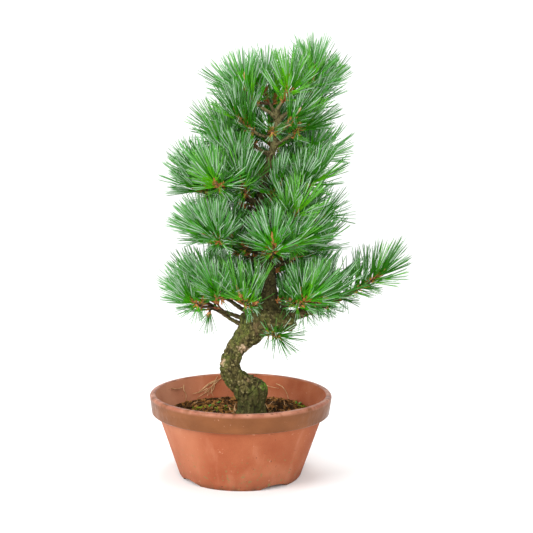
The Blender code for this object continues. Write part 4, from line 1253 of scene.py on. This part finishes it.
# %% Grains and moss by Geometry Nodes
def scatter_tree():
    """Spreads copies of a small shape over a surface, where an attribute allows it."""
    tree = bpy.data.node_groups.new("scatter", "GeometryNodeTree")
    face = tree.interface
    face.new_socket("Geometry", in_out="INPUT", socket_type="NodeSocketGeometry")
    face.new_socket("Shape", in_out="INPUT", socket_type="NodeSocketObject")
    for name, value in (("Density", 1000.0), ("Smallest", 0.5), ("Largest", 1.5), ("Tilt", 6.2832)):
        face.new_socket(name, in_out="INPUT", socket_type="NodeSocketFloat").default_value = value
    face.new_socket("Seed", in_out="INPUT", socket_type="NodeSocketInt")
    face.new_socket("Where", in_out="INPUT", socket_type="NodeSocketString").default_value = "everywhere"
    face.new_socket("Finish", in_out="INPUT", socket_type="NodeSocketMaterial")
    face.new_socket("Geometry", in_out="OUTPUT", socket_type="NodeSocketGeometry")
    entry = tree.nodes.new("NodeGroupInput")
    leave = tree.nodes.new("NodeGroupOutput")
    spread = tree.nodes.new("GeometryNodeDistributePointsOnFaces")
    allowed = tree.nodes.new("GeometryNodeInputNamedAttribute")
    density = tree.nodes.new("ShaderNodeMath")
    density.operation = "MULTIPLY"
    shape = tree.nodes.new("GeometryNodeObjectInfo")
    turn = tree.nodes.new("FunctionNodeRandomValue")
    turn.data_type = "FLOAT_VECTOR"
    most = tree.nodes.new("ShaderNodeCombineXYZ")
    most.inputs["Z"].default_value = 6.2832
    size = tree.nodes.new("FunctionNodeRandomValue")
    size.data_type = "FLOAT"
    place = tree.nodes.new("GeometryNodeInstanceOnPoints")
    real = tree.nodes.new("GeometryNodeRealizeInstances")
    finish = tree.nodes.new("GeometryNodeSetMaterial")
    link = tree.links.new
    link(entry.outputs["Geometry"], spread.inputs["Mesh"])
    link(entry.outputs["Where"], allowed.inputs["Name"])
    link(entry.outputs["Density"], density.inputs[0])
    link(allowed.outputs["Attribute"], density.inputs[1])
    link(density.outputs["Value"], spread.inputs["Density"])
    link(entry.outputs["Seed"], spread.inputs["Seed"])
    link(spread.outputs["Points"], place.inputs["Points"])
    link(entry.outputs["Shape"], shape.inputs["Object"])
    link(shape.outputs["Geometry"], place.inputs["Instance"])
    link(entry.outputs["Tilt"], most.inputs["X"])
    link(entry.outputs["Tilt"], most.inputs["Y"])
    link(most.outputs["Vector"], turn.inputs[1])
    link(turn.outputs["Value"], place.inputs["Rotation"])
    link(entry.outputs["Smallest"], size.inputs[2])
    link(entry.outputs["Largest"], size.inputs[3])
    link(size.outputs[1], place.inputs["Scale"])
    link(place.outputs["Instances"], real.inputs["Geometry"])
    link(real.outputs["Geometry"], finish.inputs["Geometry"])
    link(entry.outputs["Finish"], finish.inputs["Material"])
    link(finish.outputs["Geometry"], leave.inputs["Geometry"])
    return tree


scatter = scatter_tree()


def scattered(name, base, shape, values, finish):
    """The scattered shapes alone, as one plain mesh object."""
    host = bpy.data.objects.new(name + "_host", base.copy())
    bpy.context.scene.collection.objects.link(host)
    modifier = host.modifiers.new("scatter", "NODES")
    modifier.node_group = scatter
    keys = {s.name: s.identifier for s in scatter.interface.items_tree if s.in_out == "INPUT"}
    modifier[keys["Shape"]] = shape
    modifier[keys["Finish"]] = finish
    for key, value in values.items():
        modifier[keys[key]] = value
    mesh = plain_mesh(host)
    mesh.name = name
    piece = bpy.data.objects.new(name, mesh)
    bpy.context.scene.collection.objects.link(piece)
    if not mesh.materials:
        mesh.materials.append(finish)
    return piece


def kept_shape(name, mesh):
    """An object to scatter, which is removed once its copies are made."""
    shape = bpy.data.objects.new(name, mesh)
    bpy.context.scene.collection.objects.link(shape)
    return shape


def small_stone(size, seed, fineness=1):
    rng = random.Random(seed)
    mesh = bpy.data.meshes.new("stone")
    work = bmesh.new()
    bmesh.ops.create_icosphere(work, subdivisions=fineness, radius=size)
    for point in work.verts:
        point.co *= rng.uniform(0.75, 1.25)
    work.to_mesh(mesh)
    work.free()
    return kept_shape("stone", mesh)


def straw(length, radius):
    """A bent dry stalk that lies along X."""
    line = [Vector((length * (k / 4 - 0.5), 0.12 * length * (k / 4 - 0.5) ** 2, 0)) for k in range(5)]
    points, faces = tube(line, [radius * w for w in (0.6, 1, 1, 0.8, 0.3)], 4)
    return kept_shape("straw", mesh_of("straw", points, faces))


MossPatch = namedtuple("MossPatch", "x y width")
MOSS_PATCHES = (
    MossPatch(-0.032, 0.026, 0.013),
    MossPatch(-0.052, 0.022, 0.009),
    MossPatch(-0.014, 0.024, 0.006),
    MossPatch(0.070, 0.038, 0.006),
    MossPatch(0.034, -0.048, 0.014),
    MossPatch(-0.046, -0.038, 0.012),
)


def top_of_soil():
    """The open upper face of the soil, with the places where moss grows."""
    mesh = bpy.data.meshes.new("soil_top")
    wanted = [face for face in soil_faces if max(face) < first and len(face) < 5]
    mesh.from_pydata(soil_points[:first], [], wanted)
    everywhere = mesh.attributes.new("everywhere", "FLOAT", "POINT")
    mossy = mesh.attributes.new("mossy", "FLOAT", "POINT")
    for n, point in enumerate(soil_points[:first]):
        everywhere.data[n].value = 1
        near = min((point.xy - Vector(patch[:2])).length / patch.width for patch in MOSS_PATCHES)
        cloud = 1 - near + 0.9 * noise.noise(Vector((point.x, point.y, 0)) * 90)
        mossy.data[n].value = max(0, min(1, cloud * 3))
    return mesh


top_mesh = top_of_soil()
stone, lump, stalk = small_stone(0.0014, 3), small_stone(0.0019, 8, 2), straw(0.013, 0.00045)
dark_grain = Finish("dark_grain", 0.95, 0.1)
dark_grain.colour(dark_grain.mix(dark_grain.mask(180, 0.4, 0.6), (0.014, 0.006, 0.002), (0.190, 0.080, 0.020)))
crumb_look = Finish("crumb", 0.95, 0.1)
crumb_look.colour(crumb_look.mix(crumb_look.mask(120, 0.42, 0.60), (0.028, 0.011, 0.003), (0.340, 0.155, 0.045)))
crumb_look.bump(crumb_look.mask(900, 0.3, 0.7, detail=4), 0.0006)
moss_look = Finish("soil_moss", 0.9, 0.1)
moss_look.colour(moss_look.mix(moss_look.mask(200, 0.4, 0.62), (0.080, 0.120, 0.008), (0.240, 0.300, 0.022)))
straw_look = Finish("straw", 0.8, 0.2)
straw_look.colour(straw_look.mix(straw_look.mask(150, 0.4, 0.6), (0.150, 0.080, 0.032), (0.460, 0.300, 0.150)))
grains = scattered("soil_grains", top_mesh, stone,
                   {"Density": 70000.0, "Smallest": 0.35, "Largest": 1.2, "Seed": 4}, dark_grain.material)
crumbs = scattered("soil_crumbs", top_mesh, lump,
                   {"Density": 34000.0, "Smallest": 0.45, "Largest": 1.25, "Seed": 6}, crumb_look.material)
moss = scattered("moss", top_mesh, stone,
                 {"Density": 260000.0, "Smallest": 0.3, "Largest": 0.9, "Seed": 9, "Where": "mossy"},
                 moss_look.material)
litter = scattered("litter", top_mesh, stalk,
                   {"Density": 9000.0, "Smallest": 0.4, "Largest": 1.1, "Seed": 5, "Tilt": 0.30},
                   straw_look.material)
for shape in (stone, lump, stalk):
    bpy.data.objects.remove(shape)
for piece in (grains, crumbs, moss, litter):
    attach(piece, "root")
    print(piece.name, "faces:", len(piece.data.polygons))

# %% [markdown]
# Fine roots have crept up the inner wall and dried there. A few dry blades stand by the trunk's
# foot, and some seedlings' leaves lie on the soil.

# %% Dry roots on the wall, blades and leaves
FIBRES = (  # places as compass angle and height, from the thick end on
    ((107, 0.095), (109, 0.090), (112, 0.084), (115, 0.079), (117, 0.073)),
    ((109, 0.090), (113, 0.088), (118, 0.084), (122, 0.080)),
    ((112, 0.084), (113, 0.078), (112, 0.072)),
    ((115, 0.079), (120, 0.076), (126, 0.073)),
    ((104, 0.093), (110, 0.086), (119, 0.078)),
    ((110, 0.088), (111, 0.081), (116, 0.074)),
    ((106, 0.091), (114, 0.086), (124, 0.079)),
    ((116, 0.082), (122, 0.079), (130, 0.078)),
    ((136, 0.090), (137, 0.084), (136, 0.078), (138, 0.073)),
    ((150, 0.090), (143, 0.087), (137, 0.088)),
    ((63, 0.088), (57, 0.085), (52, 0.078), (50, 0.073)),
    ((75, 0.087), (68, 0.084), (60, 0.083)),
    ((240, 0.090), (247, 0.084), (250, 0.077)),
    ((300, 0.088), (308, 0.083), (312, 0.076)),
)
FIBRE_RADIUS = 0.00055
Blade = namedtuple("Blade", "x y compass length rise droop")
BLADES = (
    Blade(-0.008, 0.012, 70, 0.016, 70, 0.5),
    Blade(-0.006, 0.016, 100, 0.014, 55, 0.9),
    Blade(-0.011, 0.014, 130, 0.012, 60, 0.3),
    Blade(-0.003, 0.018, 40, 0.011, 75, 0.2),
    Blade(0.033, 0.024, 120, 0.012, 40, 0.2),
    Blade(0.031, 0.030, 40, 0.013, 42, 0.3),
    Blade(0.052, 0.034, 100, 0.009, 60, 0.4),
    Blade(-0.060, 0.036, 20, 0.010, 35, 0.2),
    Blade(0.020, -0.050, -60, 0.012, 30, 0.3),
)
Leaf = namedtuple("Leaf", "x y compass length")
LEAVES = (
    Leaf(-0.026, 0.045, 10, 0.0060),
    Leaf(-0.036, 0.025, 60, 0.0055),
    Leaf(-0.018, 0.029, -20, 0.0050),
    Leaf(0.070, 0.041, 30, 0.0060),
    Leaf(0.066, 0.044, 110, 0.0045),
    Leaf(0.038, -0.044, 80, 0.0050),
)


def on_wall(compass, height):
    """A place on the pot's inner wall."""
    return heading(compass, 0) * (inner_radius(height) - FIBRE_RADIUS / 2) + Vector((0, 0, height))


def leaf_shape(leaf):
    """A small closed leaf, lens-shaped and lifted at its tip."""
    middle = Vector((leaf.x, leaf.y, ground(leaf.x, leaf.y) + 0.0025))
    along, across = heading(leaf.compass, 18), heading(leaf.compass + 90, 0)
    points = []
    for k in range(10):
        turn = 2 * math.pi * k / 10
        reach = leaf.length / 2
        points.append(middle + along * reach * math.cos(turn) + across * reach * 0.45 * math.sin(turn))
    points += [middle + Vector((0, 0, 0.0005)), middle - Vector((0, 0, 0.0003))]
    faces = [(k, (k + 1) % 10, 10) for k in range(10)]
    faces += [((k + 1) % 10, k, 11) for k in range(10)]
    return points, faces


dry = Parts()
for row in FIBRES:
    rows = [tuple(on_wall(*spot)) for spot in row]
    line = [blend_rows(rows, k / 24) for k in range(25)]
    dry.add(*tube(line, [FIBRE_RADIUS * (1 - 0.5 * k / 24) for k in range(25)], 5))
for blade in BLADES:
    foot = Vector((blade.x, blade.y, ground(blade.x, blade.y) - 0.001))
    aim = heading(blade.compass, blade.rise)
    line = []
    for k in range(9):
        t = k / 8
        line.append(foot + blade.length * (aim * t - Vector((0, 0, 0.5 * blade.droop * t * t))))
    dry.add(*tube(line, [0.0006 * w for w in (1, 1, 1, 0.95, 0.9, 0.8, 0.65, 0.45, 0.2)], 6))
fibre_look = Finish("dry_root", 0.85, 0.2)
fibre_look.colour(fibre_look.mix(fibre_look.mask(200, 0.4, 0.6), (0.380, 0.200, 0.090), (0.620, 0.390, 0.200)))
dry_piece = add_piece("dry_roots", dry.mesh("dry_roots"), [fibre_look.material])
leaves = Parts()
for leaf in LEAVES:
    leaves.add(*leaf_shape(leaf))
leaf_look = Finish("seedling_leaf", 0.6, 0.3)
leaf_look.colour((0.060, 0.340, 0.030))
leaf_piece = add_piece("seedlings", leaves.mesh("seedlings"), [leaf_look.material])
for piece, slot in ((dry_piece, "bark"), (leaf_piece, "needles")):
    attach(piece, "root")
print("dry root faces:", len(dry_piece.data.polygons), "leaf faces:", len(leaf_piece.data.polygons))

# %% [markdown]
# The stage is a pale sweep that rises behind the plant, with broad soft lights. The camera
# stands where the photograph was taken from, a little above the middle of the plant.

# %% The stage, the lights and the camera
def build_stage():
    outline = [(-3.0, 0.0), (1.6, 0.0)]
    for k in range(1, 13):
        turn = math.radians(90 * k / 12)
        outline.append((1.6 + 0.9 * math.sin(turn), 0.9 * (1 - math.cos(turn))))
    outline.append((2.5, 4.0))
    points, faces = [], []
    for y, z in outline:
        points += [(-4.0, y, z), (4.0, y, z)]
    for k in range(len(outline) - 1):
        faces.append((2 * k, 2 * k + 1, 2 * k + 3, 2 * k + 2))
    pale = Finish("pale_sweep", 0.9)
    pale.colour((0.93, 0.93, 0.93))
    sweep = add_piece("sweep", mesh_of("sweep", points, faces, smooth=True), [pale.material])


def area_light(name, place, target, size, power):
    light = bpy.data.lights.new(name, "AREA")
    light.size = size
    light.energy = power
    lamp = bpy.data.objects.new(name, light)
    lamp.location = place
    lamp.rotation_euler = (Vector(target) - Vector(place)).to_track_quat("-Z", "Y").to_euler()
    bpy.context.scene.collection.objects.link(lamp)


build_stage()
MIDDLE = (0.03, 0.0, 0.25)
area_light("key_light", (-1.4, -1.2, 1.15), MIDDLE, 1.1, 33)
area_light("front_light", (0.1, -1.9, 0.9), MIDDLE, 0.9, 18)
area_light("low_light", (-1.6, -0.5, 0.42), (0.03, 0.0, 0.08), 0.5, 8)
area_light("fill_light", (1.7, -1.2, 1.1), MIDDLE, 1.6, 19)
area_light("top_light", (0.1, 0.3, 2.4), MIDDLE, 1.2, 37)
world = bpy.data.worlds.new("studio")
world.use_nodes = True
world.node_tree.nodes["Background"].inputs["Color"].default_value = (1, 1, 1, 1)
world.node_tree.nodes["Background"].inputs["Strength"].default_value = 0.44
bpy.context.scene.world = world

bpy.context.scene.view_settings.view_transform = "Standard"
CAMERA_PLACE = (-0.0034, -1.600, 0.4808)
CAMERA_PITCH, CAMERA_YAW, CAMERA_ROLL = 8.405, 1.127, 0.609
FOCAL_PIXELS, FRAME_PIXELS = 1417.6, 533
camera_data = bpy.data.cameras.new("camera")
camera_data.sensor_width = 36
camera_data.lens = FOCAL_PIXELS / FRAME_PIXELS * 36
camera_data.clip_start = 0.05
camera = bpy.data.objects.new("camera", camera_data)
turn = Matrix.Rotation(math.radians(-CAMERA_YAW), 4, "Z")
tip_down = Matrix.Rotation(math.radians(90 - CAMERA_PITCH), 4, "X")
roll = Matrix.Rotation(math.radians(CAMERA_ROLL), 4, "Z")
camera.matrix_world = Matrix.Translation(CAMERA_PLACE) @ turn @ tip_down @ roll
bpy.context.scene.collection.objects.link(camera)
bpy.context.scene.camera = camera
print("camera lens:", round(camera_data.lens, 2))

# %% The sizes, and the end
print("box of the solids:", cad_box)
